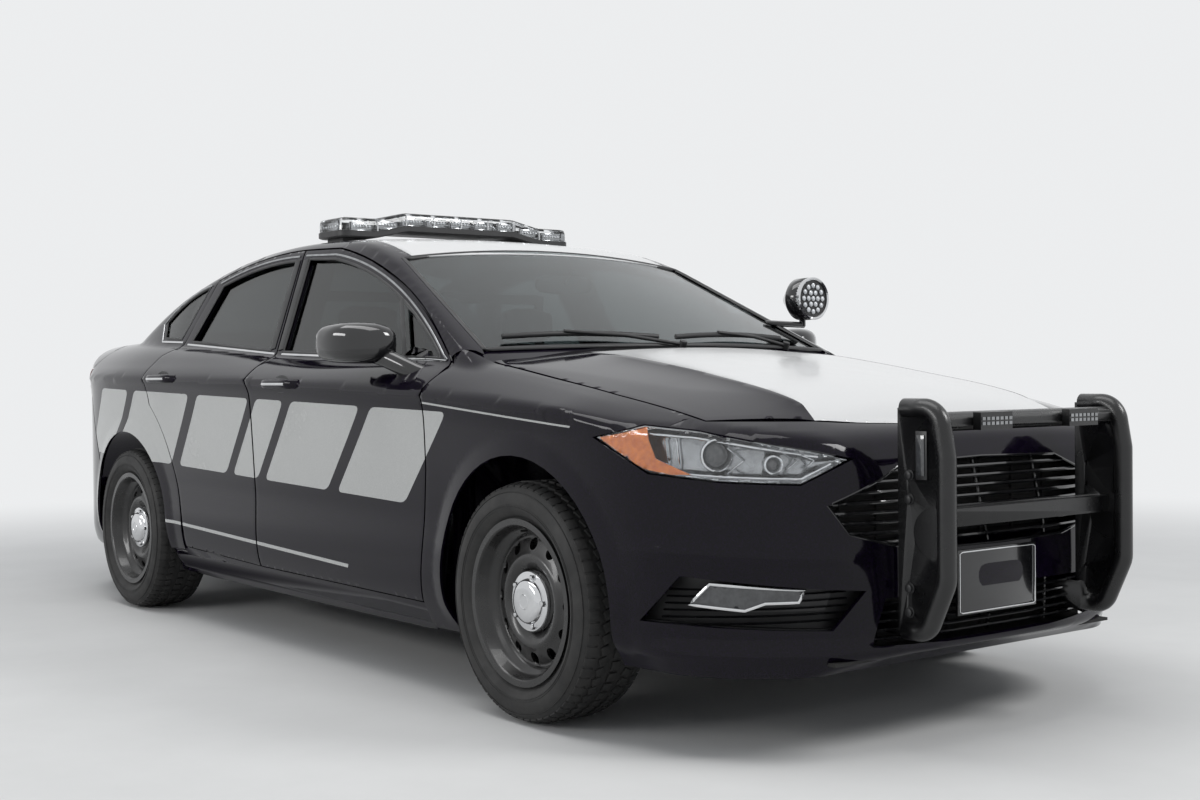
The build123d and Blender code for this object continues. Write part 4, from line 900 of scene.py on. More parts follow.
def build_side_frames():
    """The frame round the doors: screen post, roof edge, rear post, flank and deck edge; with its twin."""
    post_rear = arc_list((944, 1013), (480, 1269), (-51, 1422), 16)
    roof_rear = arc_list((-332, 1434), (-800, 1404), (-1041, 1357), 12)
    door_cut = [(-1157, 1094), (-1219, 1052)] + arc_list((-1157, 852), (-967, 640), (-893, 420), 10)
    lamp = [(-1771, 606), (-1857, 740), (-1951, 880), (-2070, 884), (-2004, 1015)]
    outline = np.vstack((
        screen_points([(-726, 1040), (-668, 1190), (-610, 1352)]),
        top_points([(345, 572), (0, 565), (-400, 548), (-860, 534), (-990, 515)]),
        screen_points([(-505, 1388), (-532, 1270), (-564, 1152)], -1),
        top_points([(-1946, 596), (-2030, 594)]),
        side_points(lamp[::-1]),
        arch_run(REAR_AXLE_X, 161, 14, 26),
        side_points([(-1010, 285), (-893, 285)]),
        side_points(door_cut[::-1]), side_points(roof_rear[::-1]), side_points(post_rear[::-1]),
        top_points([(1010, 752), (1040, 742)]),
    ))
    window = side_points(trace(QUARTER_WINDOW) * 1000)
    panel("side_frame_right", to_round(outline), [to_round(window)], FLANK_STEP, from_round, "root", PAINT, thick=0.003,
          both=("side_frame_left", "root"), marks=MARKS_ROUND,
          creases=[SHOULDER_ROUND, to_round(onto_side(flare_line(REAR_AXLE_X)))])


def build_roof():
    panel("roof_skin", trace(ROOF_SKIN), [], ROOF_STEP, onto_top, "root", WHITE, thick=0.012, proud=0.002,
          replaced=("roof_panel",), outward=lambda p: np.array([[0, 0, 1.0]] * len(p)))


def build_trunk_lid():
    right = np.vstack((top_points([(-1956, 586), (-2180, 586), (-2400, 580)]),
                       tail_points([(-496, 1010), (-496, 724)])))
    rear = tail_points([(0, 724)])
    deck = onto_top(np.array([(-1.956, 0.0)]))
    outline = np.vstack((deck, right, rear, flip_y(right)))
    plate_bay = tail_points([(-205, 775), (205, 775), (235, 900), (-235, 900)])
    panel("trunk_lid_panel", to_tail(outline), [], TAIL_STEP, onto_tail, "trunk_lid", PAINT, thick=0.008,
          replaced=("trunk_lid",), outward=lambda p: p - np.array((TAIL_X0, 0, TAIL_Z0)),
          marks=[(to_tail(plate_bay), GLOSS_BLACK)])


def build_rear_bumper():
    right = np.vstack((arch_run(REAR_AXLE_X, 199, 162, 8), side_points([(-1779, 600), (-1963, 880), (-2080, 880)])))
    back = tail_points([(-640, 880), (-520, 880), (-504, 716), (0, 716)])
    outline = np.vstack((right, back, flip_y(back[:-1]), flip_y(right)))
    valance = tail_points([(-620, 300), (620, 300), (690, 400), (560, 424), (-560, 424), (-690, 400)])
    marks = [(to_end(valance, "rear"), TRIM)]
    for sign in (1, -1):
        strip = tail_points([(-740, 452), (-560, 462), (-560, 488), (-740, 478)]) * np.array((1, sign, 1))
        marks.append((to_end(strip, "rear"), RED_FACE))
    panel("rear_bumper_cover", to_end(outline, "rear"), [], TAIL_STEP, lambda uv: onto_end(uv, "rear"), "root", PAINT,
          thick=0.010, replaced=("rear_bumper",), outward=lambda p: p - np.array((-1.2, 0, 0.5)), marks=marks)


build_side_frames()
build_roof()
build_trunk_lid()
build_rear_bumper()


# Simple closed shapes, each as points and faces in metres

def turned(profile, count, origin, way):
    """A closed profile of radius and height, turned round an axis."""
    up = Vector(way).normalized()
    frame_turn = np.array(up.to_track_quat("Z", "Y").to_matrix())
    rows = []
    for r, h in profile:
        angles = np.linspace(0, 2 * math.pi, count, endpoint=False)
        rows.append(np.column_stack((r * np.cos(angles), r * np.sin(angles), angles * 0 + h)))
    points = np.vstack(rows) @ frame_turn.T + np.array(origin)
    faces = []
    for n in range(len(profile)):
        m = (n + 1) % len(profile)
        if profile[n][0] == 0 and profile[m][0] == 0:
            continue
        for k in range(count):
            j = (k + 1) % count
            faces.append((n * count + k, n * count + j, m * count + j, m * count + k))
    return points, faces


def brick(low, high):
    """A plain box between two corners."""
    (x0, y0, z0), (x1, y1, z1) = low, high
    points = np.array([(x, y, z) for x in (x0, x1) for y in (y0, y1) for z in (z0, z1)], float)
    faces = [(0, 1, 3, 2), (4, 6, 7, 5), (0, 4, 5, 1), (2, 3, 7, 6), (0, 2, 6, 4), (1, 5, 7, 3)]
    return points, faces


def stack_faces(rows, count):
    """Faces between rings that hold the same count of points, one ring after another."""
    return [(n * count + k, n * count + (k + 1) % count, (n + 1) * count + (k + 1) % count, (n + 1) * count + k)
            for n in range(rows - 1) for k in range(count)]


def end_faces(rows, count):
    return [tuple(range(count))[::-1], tuple((rows - 1) * count + k for k in range(count))]


def rope(path, radius, count=12, closed=False, flat=1.0, up=(0, 0, 1)):
    """A rod along a path, round or flattened."""
    path = np.array(path, float)
    size = len(path)
    ahead = np.roll(path, -1, axis=0) - np.roll(path, 1, axis=0) if closed else np.gradient(path, axis=0)
    ahead /= np.maximum(np.linalg.norm(ahead, axis=1), 1e-9)[:, None]
    side = np.cross(ahead, np.array(up, float))
    side /= np.maximum(np.linalg.norm(side, axis=1), 1e-9)[:, None]
    over = np.cross(side, ahead)
    angles = np.linspace(0, 2 * math.pi, count, endpoint=False)
    rings = (path[:, None] + side[:, None] * (radius * np.cos(angles))[None, :, None]
             + over[:, None] * (radius * flat * np.sin(angles))[None, :, None])
    faces = []
    for n in range(size if closed else size - 1):
        m = (n + 1) % size
        for k in range(count):
            j = (k + 1) % count
            faces.append((n * count + k, n * count + j, m * count + j, m * count + k))
    if not closed:
        faces += end_faces(size, count)
    return rings.reshape(-1, 3), faces


def over_side(shape):
    """The same shape on the other side of the car."""
    points, faces = shape
    return points * np.array((1, -1, 1)), [tuple(face)[::-1] for face in faces]


def both(shapes):
    return list(shapes) + [over_side(shape) for shape in shapes]


def on_side(shapes, side):
    """Shapes drawn for the right, or their twins."""
    return shapes if side == "right" else [over_side(shape) for shape in shapes]


def joined_mesh(name, shapes, angle=35.0, bevel=0.0):
    """One mesh of many closed shapes, faces outwards, shaded smooth up to an angle."""
    points, faces, start = [], [], 0
    for p, f in shapes:
        points.extend(p.tolist())
        faces.extend(tuple(start + k for k in face) for face in f)
        start += len(p)
    mesh = bpy.data.meshes.new(name)
    mesh.from_pydata(points, [], faces)
    work = bmesh.new()
    work.from_mesh(mesh)
    bmesh.ops.remove_doubles(work, verts=work.verts, dist=1e-6)
    bmesh.ops.dissolve_degenerate(work, edges=work.edges, dist=1e-7)
    if bevel:
        sharp = [e for e in work.edges if len(e.link_faces) == 2 and e.calc_face_angle(0) > 0.6]
        bmesh.ops.bevel(work, geom=sharp, offset=bevel, segments=2, profile=0.5, affect="EDGES", clamp_overlap=True)
    bmesh.ops.recalc_face_normals(work, faces=work.faces)
    work.to_mesh(mesh)
    work.free()
    mesh.shade_smooth()
    mesh.set_sharp_from_angle(angle=math.radians(angle))
    return mesh


def add_shapes(name, shapes, material, body, replaced=(), angle=35.0, bevel=0.0):
    return add_piece(name, joined_mesh(name, shapes, angle, bevel), material, body, replaced)


def offset_loop(outline, amount):
    """A closed outline moved outwards by an even amount."""
    loop = np.array(outline, float)
    area = 0.5 * np.sum(loop[:, 0] * np.roll(loop[:, 1], -1) - np.roll(loop[:, 0], -1) * loop[:, 1])
    ahead = np.roll(loop, -1, axis=0) - np.roll(loop, 1, axis=0)
    ahead /= np.maximum(np.linalg.norm(ahead, axis=1), 1e-9)[:, None]
    return loop + np.column_stack((ahead[:, 1], -ahead[:, 0])) * amount * np.sign(area)


def copies_group():
    """Even copies of a small shape round a circle or along a row, made real, with one material."""
    group = bpy.data.node_groups.new("Even copies", "GeometryNodeTree")
    face = group.interface
    for title, kind in (("Geometry", "Geometry"), ("Shape", "Object"), ("Material", "Material"),
                        ("Size jitter", "Float"), ("Seed", "Int")):
        face.new_socket(name=title, in_out="INPUT", socket_type="NodeSocket" + kind)
    face.new_socket(name="Geometry", in_out="OUTPUT", socket_type="NodeSocketGeometry")
    nodes = group.nodes
    source, sink = nodes.new("NodeGroupInput"), nodes.new("NodeGroupOutput")
    shape = nodes.new("GeometryNodeObjectInfo")
    place = nodes.new("GeometryNodeInstanceOnPoints")
    turn = nodes.new("GeometryNodeInputNamedAttribute")
    turn.data_type = "FLOAT_VECTOR"
    turn.inputs["Name"].default_value = "turn"
    jitter = nodes.new("FunctionNodeRandomValue")
    jitter.data_type = "FLOAT"
    low, high = nodes.new("ShaderNodeMath"), nodes.new("ShaderNodeMath")
    low.operation, high.operation = "SUBTRACT", "ADD"
    low.inputs[0].default_value = high.inputs[0].default_value = 1.0
    real = nodes.new("GeometryNodeRealizeInstances")
    finish = nodes.new("GeometryNodeSetMaterial")
    wire(group, (source, "Geometry", place, "Points"), (source, "Shape", shape, "Object"),
         (shape, "Geometry", place, "Instance"), (turn, "Attribute", place, "Rotation"),
         (source, "Size jitter", low, 1), (source, "Size jitter", high, 1), (low, 0, jitter, 2),
         (high, 0, jitter, 3), (source, "Seed", jitter, "Seed"), (jitter, 1, place, "Scale"), (place, 0, real, 0),
         (real, 0, finish, "Geometry"), (source, "Material", finish, "Material"), (finish, 0, sink, "Geometry"))
    return group


COPIES = copies_group()


def copies_mesh(name, shape, points, turns, material, jitter=0.0, seed=7):
    """A plain mesh of the shape repeated at points, each with its own turn."""
    stamp = bpy.data.objects.new(name + "_shape", shape)
    seeds = bpy.data.meshes.new(name + "_points")
    seeds.from_pydata([tuple(p) for p in points], [], [])
    data = seeds.attributes.new("turn", "FLOAT_VECTOR", "POINT")
    data.data.foreach_set("vector", np.array(turns, float).ravel())
    field = bpy.data.objects.new(name + "_field", seeds)
    bpy.context.scene.collection.objects.link(stamp)
    bpy.context.scene.collection.objects.link(field)
    step = field.modifiers.new("Copies", "NODES")
    step.node_group = COPIES
    ids = {item.name: item.identifier for item in COPIES.interface.items_tree if item.in_out == "INPUT"}
    step[ids["Shape"]] = stamp
    step[ids["Material"]] = material
    step[ids["Size jitter"]] = jitter
    step[ids["Seed"]] = seed
    bpy.context.view_layer.update()
    graph = bpy.context.evaluated_depsgraph_get()
    mesh = bpy.data.meshes.new_from_object(field.evaluated_get(graph))
    mesh.name = name
    field.modifiers.remove(step)
    bpy.data.objects.remove(field)
    bpy.data.objects.remove(stamp)
    return mesh


# Finishes of the small fittings

LED_WHITE = finish_of("Pale light face", (0.62, 0.64, 0.66), (0.80, 0.82, 0.84), rough=(0.20, 0.34), coat=0.6, dust=30)
# Also worn by the window top trims in place of their chrome, as painted shade and dark reflection
BOWL = finish_of("Lamp bowl", (0.26, 0.265, 0.27), (0.42, 0.43, 0.44), rough=(0.08, 0.18), metallic=1.0, dust=9)
AMBER = finish_of("Amber reflector", (0.66, 0.13, 0.0), (0.92, 0.24, 0.0), rough=(0.14, 0.26), coat=1.0, bump=0.4,
                  grain=260, dust=40)
LENS_DARK = finish_of("Smoked light face", (0.035, 0.037, 0.040), (0.075, 0.078, 0.082), rough=(0.06, 0.12), coat=1.0,
                      dust=30)


def from_corner(pairs, depth):
    """Points behind the lamp's outer face, at 45 degrees to the car."""
    return corner_points(pairs, False) + np.array((-DIAGONAL, DIAGONAL, 0)) * np.asarray(depth, float).reshape(-1, 1)


HEADLAMP = [(632, 796), (762, 824), (893, 811), (1197, 756), (1262, 740), (1147, 684), (950, 692), (774, 711)]


def rim_distance(points, outline):
    gap = np.full(len(points), 9.0)
    for a, b in zip(outline, np.roll(outline, -1, axis=0)):
        t = np.clip(((points - a) @ (b - a)) / max((b - a) @ (b - a), 1e-12), 0, 1)
        gap = np.minimum(gap, np.linalg.norm(points - a - t[:, None] * (b - a), axis=1))
    return gap


def corner_sheet(name, outline, depth, thick, step=0.012):
    """A sheet in the lamp's opening; depth gives how far in it lies, from each point's distance to the rim."""
    uv, tri = fill_region(np.array(outline, float) / 1000, [], step)
    gap = rim_distance(uv, np.array(outline, float) / 1000)
    points = from_corner(uv * 1000, depth(gap, uv))
    return sheet_mesh(name, points, tri, thick, 0.0, lambda p: np.array([[0.7, -0.7, 0.0]] * len(p)))


def add_both(name, mesh, material, body="root"):
    add_piece(name + "_right", mesh, material, body)
    add_piece(name + "_left", mirrored(mesh, name + "_left"), material, body)


def lamp_spot(u, z, depth):
    return from_corner([(u, z)], [depth])[0]


def build_headlamps():
    lens = corner_sheet("headlamp_lens", HEADLAMP, lambda gap, uv: gap * 0 + 0.001, 0.0025)
    add_piece("headlamp_lens_right", lens, LAMP_WHITE, "root")
    add_piece("headlamp_lens_left", mirrored(lens, "headlamp_lens_left"), LAMP_WHITE, "root", ("headlamps",))
    bowl = corner_sheet("headlamp_bowl", HEADLAMP,
                        lambda gap, uv: 0.006 + 0.044 * np.clip(gap / 0.020, 0, 1) ** 0.5, 0.003)
    add_both("headlamp_bowl", bowl, BOWL)
    amber = [(640, 795), (768, 822), (772, 790), (790, 745), (880, 706), (830, 706), (772, 716), (742, 728)]
    add_both("headlamp_amber", corner_sheet("headlamp_amber", amber, lambda gap, uv: gap * 0 + 0.006, 0.004), AMBER)
    face = (math.cos(0.5), -math.sin(0.5), 0.0)
    shapes = []
    for u, z, r in ((940, 754, 0.037), (1078, 730, 0.020)):
        spot = lamp_spot(u, z, 0.036)
        shapes.append(turned([(r, 0.0), (r + 0.004, 0.003), (r + 0.004, 0.018), (r, 0.020), (r - 0.003, 0.016),
                              (r - 0.006, 0.002)], 40, spot, face))
    strip = [(780, 720), (870, 706), (960, 700), (1060, 696), (1150, 694), (1222, 730)]
    shapes.append(rope(from_corner(strip, [0.020] * 6), 0.0045, 10))
    upper = [(770, 806), (890, 797), (1040, 772), (1190, 748)]
    shapes.append(rope(from_corner(upper, [0.022] * 4), 0.0035, 10))
    for u, back in ((1010, 40), (1140, 36), (1180, 30)):
        chevron = [(u - back, 708), (u, 740), (u - back, 772 - (u - 1010) * 0.10)]
        shapes.append(rope(from_corner(chevron, [0.026] * 3), 0.0065, 8, flat=0.5, up=(0.7, 0.7, 0)))
    for u in (820, 850):
        shapes.append(rope(from_corner([(u, 728), (u - 8, 795)], [0.036, 0.036]), 0.0035, 8, flat=0.6,
                           up=(0.7, 0.7, 0)))
    add_shapes("headlamp_trim", both(shapes), CHROME, "root")
    domes = []
    for u, z, r in ((940, 754, 0.032), (1078, 730, 0.015)):
        spot = lamp_spot(u, z, 0.034)
        curve = [(r * math.cos(t), r * 0.55 * math.sin(t)) for t in np.linspace(0.15, 1.45, 7)]
        domes.append(turned([(0.0, 0.0), (r, 0.0)] + curve + [(0.0, r * 0.55)], 32, spot, face))
    add_shapes("headlamp_projectors", both(domes), LENS_DARK, "root")


def build_fog_lamps():
    shapes = []
    for n in range(6):
        z = 338 + n * 17
        us = np.linspace(800 + n * 4, 1262 - n * 2, 14)
        path = from_corner(np.column_stack((us, us * 0 + z + (us - 1000) * 0.03)), [0.030] * 14)
        shapes.append(rope(path, 0.011, 6, flat=0.28))
    add_shapes("fog_slats", both(shapes), GLOSS_BLACK, "root")
    ring = [(872, 384), (924, 436), (1157, 422), (1141, 392), (1060, 390), (1010, 372)]
    loop = dense(np.array(ring, float), 20)
    frame_rod = rope(from_corner(loop, [0.012] * len(loop)), 0.0045, 8, closed=True)
    add_shapes("fog_lamp_ring", both([frame_rod]), CHROME, "root")
    add_both("fog_lamp_face", corner_sheet("fog_lamp_face", ring, lambda gap, uv: gap * 0 + 0.016, 0.012), LENS_DARK)


def build_grille():
    shapes, depth = [], 0.011
    for low, high, count, outline, thick in ((505, 731, 8, GRILLE, 0.0060),
                                             (268, 398, 5, trace(LOWER_INTAKE) * 1000, 0.0045)):
        loop = np.array(outline, float)
        for n in range(count):
            z = low + (high - low) * (n + 1) / (count + 1)
            ys = np.linspace(-560, 560, 225)
            ok = in_outline(np.column_stack((ys, ys * 0 + z)), loop)
            span = ys[ok]
            path = front_points(np.column_stack((np.linspace(span[0], span[-1], 36), np.full(36, z))))
            shapes.append(rope(path - np.array((0.016, 0, 0)), depth, 8, flat=thick / depth))
        for y in (-250, 0, 250):
            zs = np.linspace(low, high, 60)
            ok = in_outline(np.column_stack((zs * 0 + y, zs)), loop)
            if ok.sum() > 3:
                span = zs[ok]
                path = front_points([(y, span[0]), (y, (span[0] + span[-1]) / 2), (y, span[-1])])
                shapes.append(rope(path - np.array((0.034, 0, 0)), 0.005, 8, up=(0, 1, 0)))
    add_shapes("grille_bars", shapes, GLOSS_BLACK, "root", ("grille",))
    edge = dense(np.array(GRILLE, float), 30)
    add_shapes("grille_rim", [rope(front_points(edge) - np.array((0.004, 0, 0)), 0.006, 8, closed=True, flat=0.7)],
               GLOSS_BLACK, "root")


def build_radiator():
    """The finned face behind the grille and the tray under it, which close the view through the openings."""
    shapes = [brick((2.150, -0.600, 0.235), (2.172, 0.600, 0.745)),
              brick((2.172, -0.560, 0.235), (2.300, 0.560, 0.243))]
    fins = [brick((2.172, -0.560, z), (2.178, 0.560, z + 0.003)) for z in np.arange(0.262, 0.735, 0.012)]
    tubes = [brick((2.172, y, 0.250), (2.180, y + 0.006, 0.735)) for y in np.arange(-0.56, 0.561, 0.140)]
    add_shapes("radiator_face", shapes + fins + tubes, UNDER, "root")


def build_plate():
    (y0, z0), (y1, z1), inset = (-0.174, 0.328), (0.148, 0.497), 0.006
    add_shapes("blank_plate", [brick((2.352, y0, z0), (2.360, y1, z1))], GLOSS_BLACK, "root", bevel=0.002)
    loop = np.array([(2.361, y, z) for y, z in ((y0 + inset, z0 + inset), (y1 - inset, z0 + inset),
                                                (y1 - inset, z1 - inset), (y0 + inset, z1 - inset))])
    corners = []
    for a, b in zip(loop, np.roll(loop, -1, axis=0)):
        corners.extend((a + (b - a) * t) for t in (0.03, 0.5, 0.97))
    add_shapes("blank_plate_rim", [rope(corners, 0.0022, 8, closed=True, up=(1, 0, 0))], CHROME, "root")
    holder = [brick((2.330, -0.10, 0.36), (2.353, -0.06, 0.46)), brick((2.330, 0.07, 0.36), (2.353, 0.11, 0.46))]
    add_shapes("plate_holder", holder, TRIM, "root")


def build_guard_fittings():
    bolts, faces, rims, cells = [], [], [], []
    for sign in (-1, 1):
        y = sign * GUARD_Y
        for z in (0.700, 0.640, 0.420, 0.360):
            bolts.append(turned([(0, 0), (0.014, 0), (0.014, 0.002), (0.0105, 0.0025), (0.0105, 0.009), (0.009, 0.010),
                                 (0, 0.010)], 12, (2.372, y + sign * 0.0052, z), (0, sign, 0)))
        faces.append(brick((2.400, y + sign * 0.006 - 0.002, 0.700), (2.424, y + sign * 0.012, 0.800)))
        rims.append(brick((2.394, y + sign * 0.004 - 0.002, 0.690), (2.430, y + sign * 0.009, 0.810)))
    for y in (-0.180, 0.180):
        cells.extend(brick((2.4895, y + d - 0.006, z), (2.4925, y + d + 0.006, z + 0.008))
                     for d in np.linspace(-0.052, 0.052, 7) for z in (0.822, 0.834))
    add_shapes("guard_bolts", bolts, TRIM, "root")
    webs = [brick((2.374, y - 0.0025, 0.492), (2.468, y + 0.0025, 0.628)) for y in (-GUARD_Y, GUARD_Y)]
    add_shapes("guard_webs", webs, POWDER, "root")
    add_shapes("guard_side_lamps", faces, LENS_DARK, "root", bevel=0.0008)
    add_shapes("guard_bar_lamps", cells, BOWL, "root")
    add_shapes("guard_lamp_frames", rims, TRIM, "root", bevel=0.002)


BAR_X = -0.34


def bar_outline(grow, count=6):
    front, rear, tip, side = -0.232 + grow, -0.447 - grow, 0.530 + grow, 0.040 + grow
    corners = [(front - side, tip - side, 0), (rear + side, tip - side, 90), (rear + side, side - tip, 180),
               (front - side, side - tip, 270)]
    out = []
    for x, y, start in corners:
        for t in np.radians(np.linspace(start, start + 90, count)):
            out.append((x + side * math.cos(t), y + side * math.sin(t)))
    return np.array(out)


def bar_drop(y):
    return 0.028 * np.clip((np.abs(y) - 0.250) / 0.125, 0, 1)


def bar_shell(levels, grows):
    """A closed ring-stack round the light bar's plan, bent down at the wings."""
    loops = [dense(bar_outline(grow), 0.02) for grow in grows]
    count = min(len(loop) for loop in loops)
    rows = []
    for loop, z in zip(loops, levels):
        closed = np.vstack((loop, loop[:1]))
        gap = np.r_[0, np.cumsum(np.linalg.norm(np.diff(closed, axis=0), axis=1))]
        at = np.linspace(0, gap[-1], count, endpoint=False)
        x, y = np.interp(at, gap, closed[:, 0]), np.interp(at, gap, closed[:, 1])
        rows.append(np.column_stack((x, y, z - bar_drop(y))))
    return rows, stack_faces(len(rows), count), count


def bar_cap(row, start, count):
    """Strips across the bar between its front and rear edges."""
    y = row[:, 1]
    front = sorted((k for k in range(count) if row[k, 0] > BAR_X), key=lambda k: y[k])
    rear = sorted((k for k in range(count) if row[k, 0] <= BAR_X), key=lambda k: y[k])
    faces, i, j = [], 0, 0
    while i < len(front) - 1 or j < len(rear) - 1:
        if j >= len(rear) - 1 or (i < len(front) - 1 and y[front[i + 1]] <= y[rear[j + 1]]):
            faces.append((front[i], rear[j], front[i + 1]))
            i += 1
        else:
            faces.append((front[i], rear[j], rear[j + 1]))
            j += 1
    return [tuple(start + k for k in face) for face in faces]


def bar_solid(levels, grows):
    rows, faces, count = bar_shell(levels, grows)
    return np.vstack(rows), faces + bar_cap(rows[0], 0, count) + bar_cap(rows[-1], (len(rows) - 1) * count, count)


def build_light_bar():
    lens = bar_solid((1.5345, 1.570, 1.580, 1.5835), (-0.004, -0.005, -0.009, -0.018))
    add_shapes("light_bar_cover", [lens], LAMP_WHITE, "root", ("light_bar_lens",), angle=50)
    base = bar_solid((1.510, 1.514, 1.5338), (-0.012, 0.0, 0.0))
    feet = [brick((-0.42, y - 0.05, 1.452), (-0.30, y + 0.05, 1.486)) for y in (-0.44, 0.44)]
    add_shapes("light_bar_tray", [base] + feet, TRIM, "root", ("light_bar_base",), angle=50)
    cell = [(0, 0), (0.0055, 0), (0.0055, 0.002), (0.0035, 0.0050), (0, 0.0060)]
    shape = joined_mesh("light_cell", [turned(cell, 8, (0, 0, 0), (0, 0, 1))])
    points, turns, cases = [], [], []
    for y0 in np.linspace(-0.44, 0.44, 9):
        drop = float(bar_drop(np.array([y0]))[0])
        for x, way in ((-0.246, 1), (-0.433, -1)):
            cases.append(brick((x - 0.018 if way > 0 else x, y0 - 0.044, 1.5345 - drop),
                               (x if way > 0 else x + 0.018, y0 + 0.044, 1.566 - drop)))
            for d in np.linspace(-0.033, 0.033, 6):
                points.append((x, y0 + d, 1.551 - drop))
                turns.append((0, way * math.pi / 2, 0))
    for side in (-1, 1):
        cases.append(brick((-0.40, side * 0.512 - 0.008, 1.507), (-0.28, side * 0.512 + 0.006, 1.538)))
        for d in np.linspace(-0.045, 0.045, 6):
            points.append((BAR_X + d, side * 0.520, 1.522))
            turns.append((-side * math.pi / 2, 0, 0))
    add_shapes("light_bar_cases", cases, BOWL, "root", bevel=0.0015)
    add_piece("light_bar_cells", copies_mesh("light_bar_cells", shape, points, turns, LED_WHITE), None, "root")
    deck = bar_solid((1.535, 1.5375), (-0.02, -0.02))
    add_shapes("light_bar_deck", [deck], GLOSS_BLACK, "root")
    ribs = []
    for y in (-0.375, -0.250, -0.125, 0.0, 0.125, 0.250, 0.375):
        drop = float(bar_drop(np.array([y]))[0])
        ribs.append(brick((-0.2375, y - 0.0025, 1.536 - drop), (-0.2345, y + 0.0025, 1.572 - drop)))
    add_shapes("light_bar_joints", ribs, CHROME, "root")


SPOT = np.array((0.860, 0.812, 1.228))  # centre of the spotlight


def build_spotlight():
    rim = turned([(0.070, 0.018), (0.078, 0.014), (0.0785, 0.030), (0.074, 0.034), (0.069, 0.030)], 48, SPOT, (1, 0, 0))
    add_shapes("spotlight_rim", [rim], CHROME, "root")
    plate = turned([(0, 0.021), (0.070, 0.021), (0.070, 0.0245), (0, 0.0245)], 40, SPOT, (1, 0, 0))
    add_shapes("spotlight_face", [plate], TRIM, "root")
    cell = [(0, 0.0), (0.0085, 0.0), (0.0095, 0.003), (0.0080, 0.0045), (0.004, 0.0065), (0, 0.0070)]
    cup = joined_mesh("spotlight_cell", [turned(cell, 12, (0, 0, 0), (0, 0, 1))])
    points = [tuple(SPOT + np.array((0.0245, 0, 0)))]
    for count, radius in ((6, 0.024), (12, 0.048)):
        for n in range(count):
            t = 2 * math.pi * n / count
            points.append(tuple(SPOT + np.array((0.0245, radius * math.cos(t), radius * math.sin(t)))))
    turns = [(0, math.pi / 2, 0)] * len(points)
    add_piece("spotlight_cells", copies_mesh("spotlight_cells", cup, points, turns, LED_WHITE), None, "root")


def superloop(centre, a, b, power, count=40):
    t = np.linspace(0, 2 * math.pi, count, endpoint=False)
    c, s = np.cos(t), np.sin(t)
    return np.column_stack((centre[0] + a * np.sign(c) * np.abs(c) ** (2 / power),
                            centre[1] + b * np.sign(s) * np.abs(s) ** (2 / power)))


MIRROR_GLASS_X = 0.531
# Rings of the mirror's shell: distance from the car's middle, centre x and z, half length and half height
MIRROR_ROWS = [
    (0.866, 0.668, 1.052, 0.062, 0.034), (0.874, 0.662, 1.056, 0.086, 0.050), (0.892, 0.654, 1.059, 0.100, 0.060),
    (0.930, 0.643, 1.061, 0.110, 0.065), (0.975, 0.628, 1.062, 0.106, 0.064), (1.010, 0.614, 1.062, 0.094, 0.060),
    (1.032, 0.600, 1.062, 0.074, 0.051), (1.043, 0.588, 1.062, 0.050, 0.037), (1.0475, 0.580, 1.062, 0.022, 0.016),
]


def build_mirrors():
    rows = []
    for y, x, z, a, b in MIRROR_ROWS:
        loop = superloop((x, z), a, b, 3.2)
        loop[:, 0] = np.maximum(loop[:, 0], MIRROR_GLASS_X)
        rows.append(np.column_stack((loop[:, 0], np.full(len(loop), -y), loop[:, 1])))
    count = len(rows[0])
    head = (np.vstack(rows), stack_faces(len(rows), count) + end_faces(len(rows), count))
    arm = rope([(0.672, -0.925, 1.030), (0.712, -0.905, 1.020), (0.752, -0.888, 1.003), (0.790, -0.870, 0.985),
                (0.822, -0.850, 0.968), (0.846, -0.826, 0.955)], 0.024, 20, flat=1.25)
    face = [brick((MIRROR_GLASS_X - 0.0025, -1.020, 1.014), (MIRROR_GLASS_X + 0.0005, -0.888, 1.108))]
    for side in ("right", "left"):
        add_shapes("mirror_head_" + side, on_side([head, arm], side), GLOSS_BLACK, "front_door_" + side, angle=60)
        add_shapes("mirror_glass_" + side, on_side(face, side), CHROME, "front_door_" + side, bevel=0.001)


def drop_mirror(work):
    """Takes the plain mirror off a front door and closes the hole."""
    gone = []
    for f in work.faces:
        x, y, z = f.calc_center_median()
        if 0.48 < x < 0.82 and abs(y) > 0.830 and 1.000 < z < 1.15:
            gone.append(f)
    bmesh.ops.delete(work, geom=gone, context="FACES")
    bmesh.ops.holes_fill(work, edges=[e for e in work.edges if e.is_boundary], sides=0)


# The front doors' rear edge: its place, the height from which it slants, its slant; then how far, where and over
# what height its hidden shut face is eased forward
SHUT_X, SHUT_Z, SHUT_SLANT = -0.217, 0.900, 0.324
EASE, EASE_Z, EASE_REACH = 0.009, 0.936, 0.050


def ease_shut_edge(work):
    """Draws the hidden rear edge of a front door forward round the shoulder, clear of the rear door's swing."""
    for z in (0.890, 0.905, 0.920, 0.935, 0.950, 0.965, 0.980):
        bmesh.ops.bisect_plane(work, geom=work.verts[:] + work.edges[:] + work.faces[:], plane_co=(0, 0, z),
                               plane_no=(0, 0, 1))
    for v in work.verts:
        x, y, z = v.co
        edge = SHUT_X - SHUT_SLANT * max(z - SHUT_Z, 0) + EASE * max(1 - abs(z - EASE_Z) / EASE_REACH, 0)
        if abs(y) > 0.860 and x < edge:
            v.co.x = edge


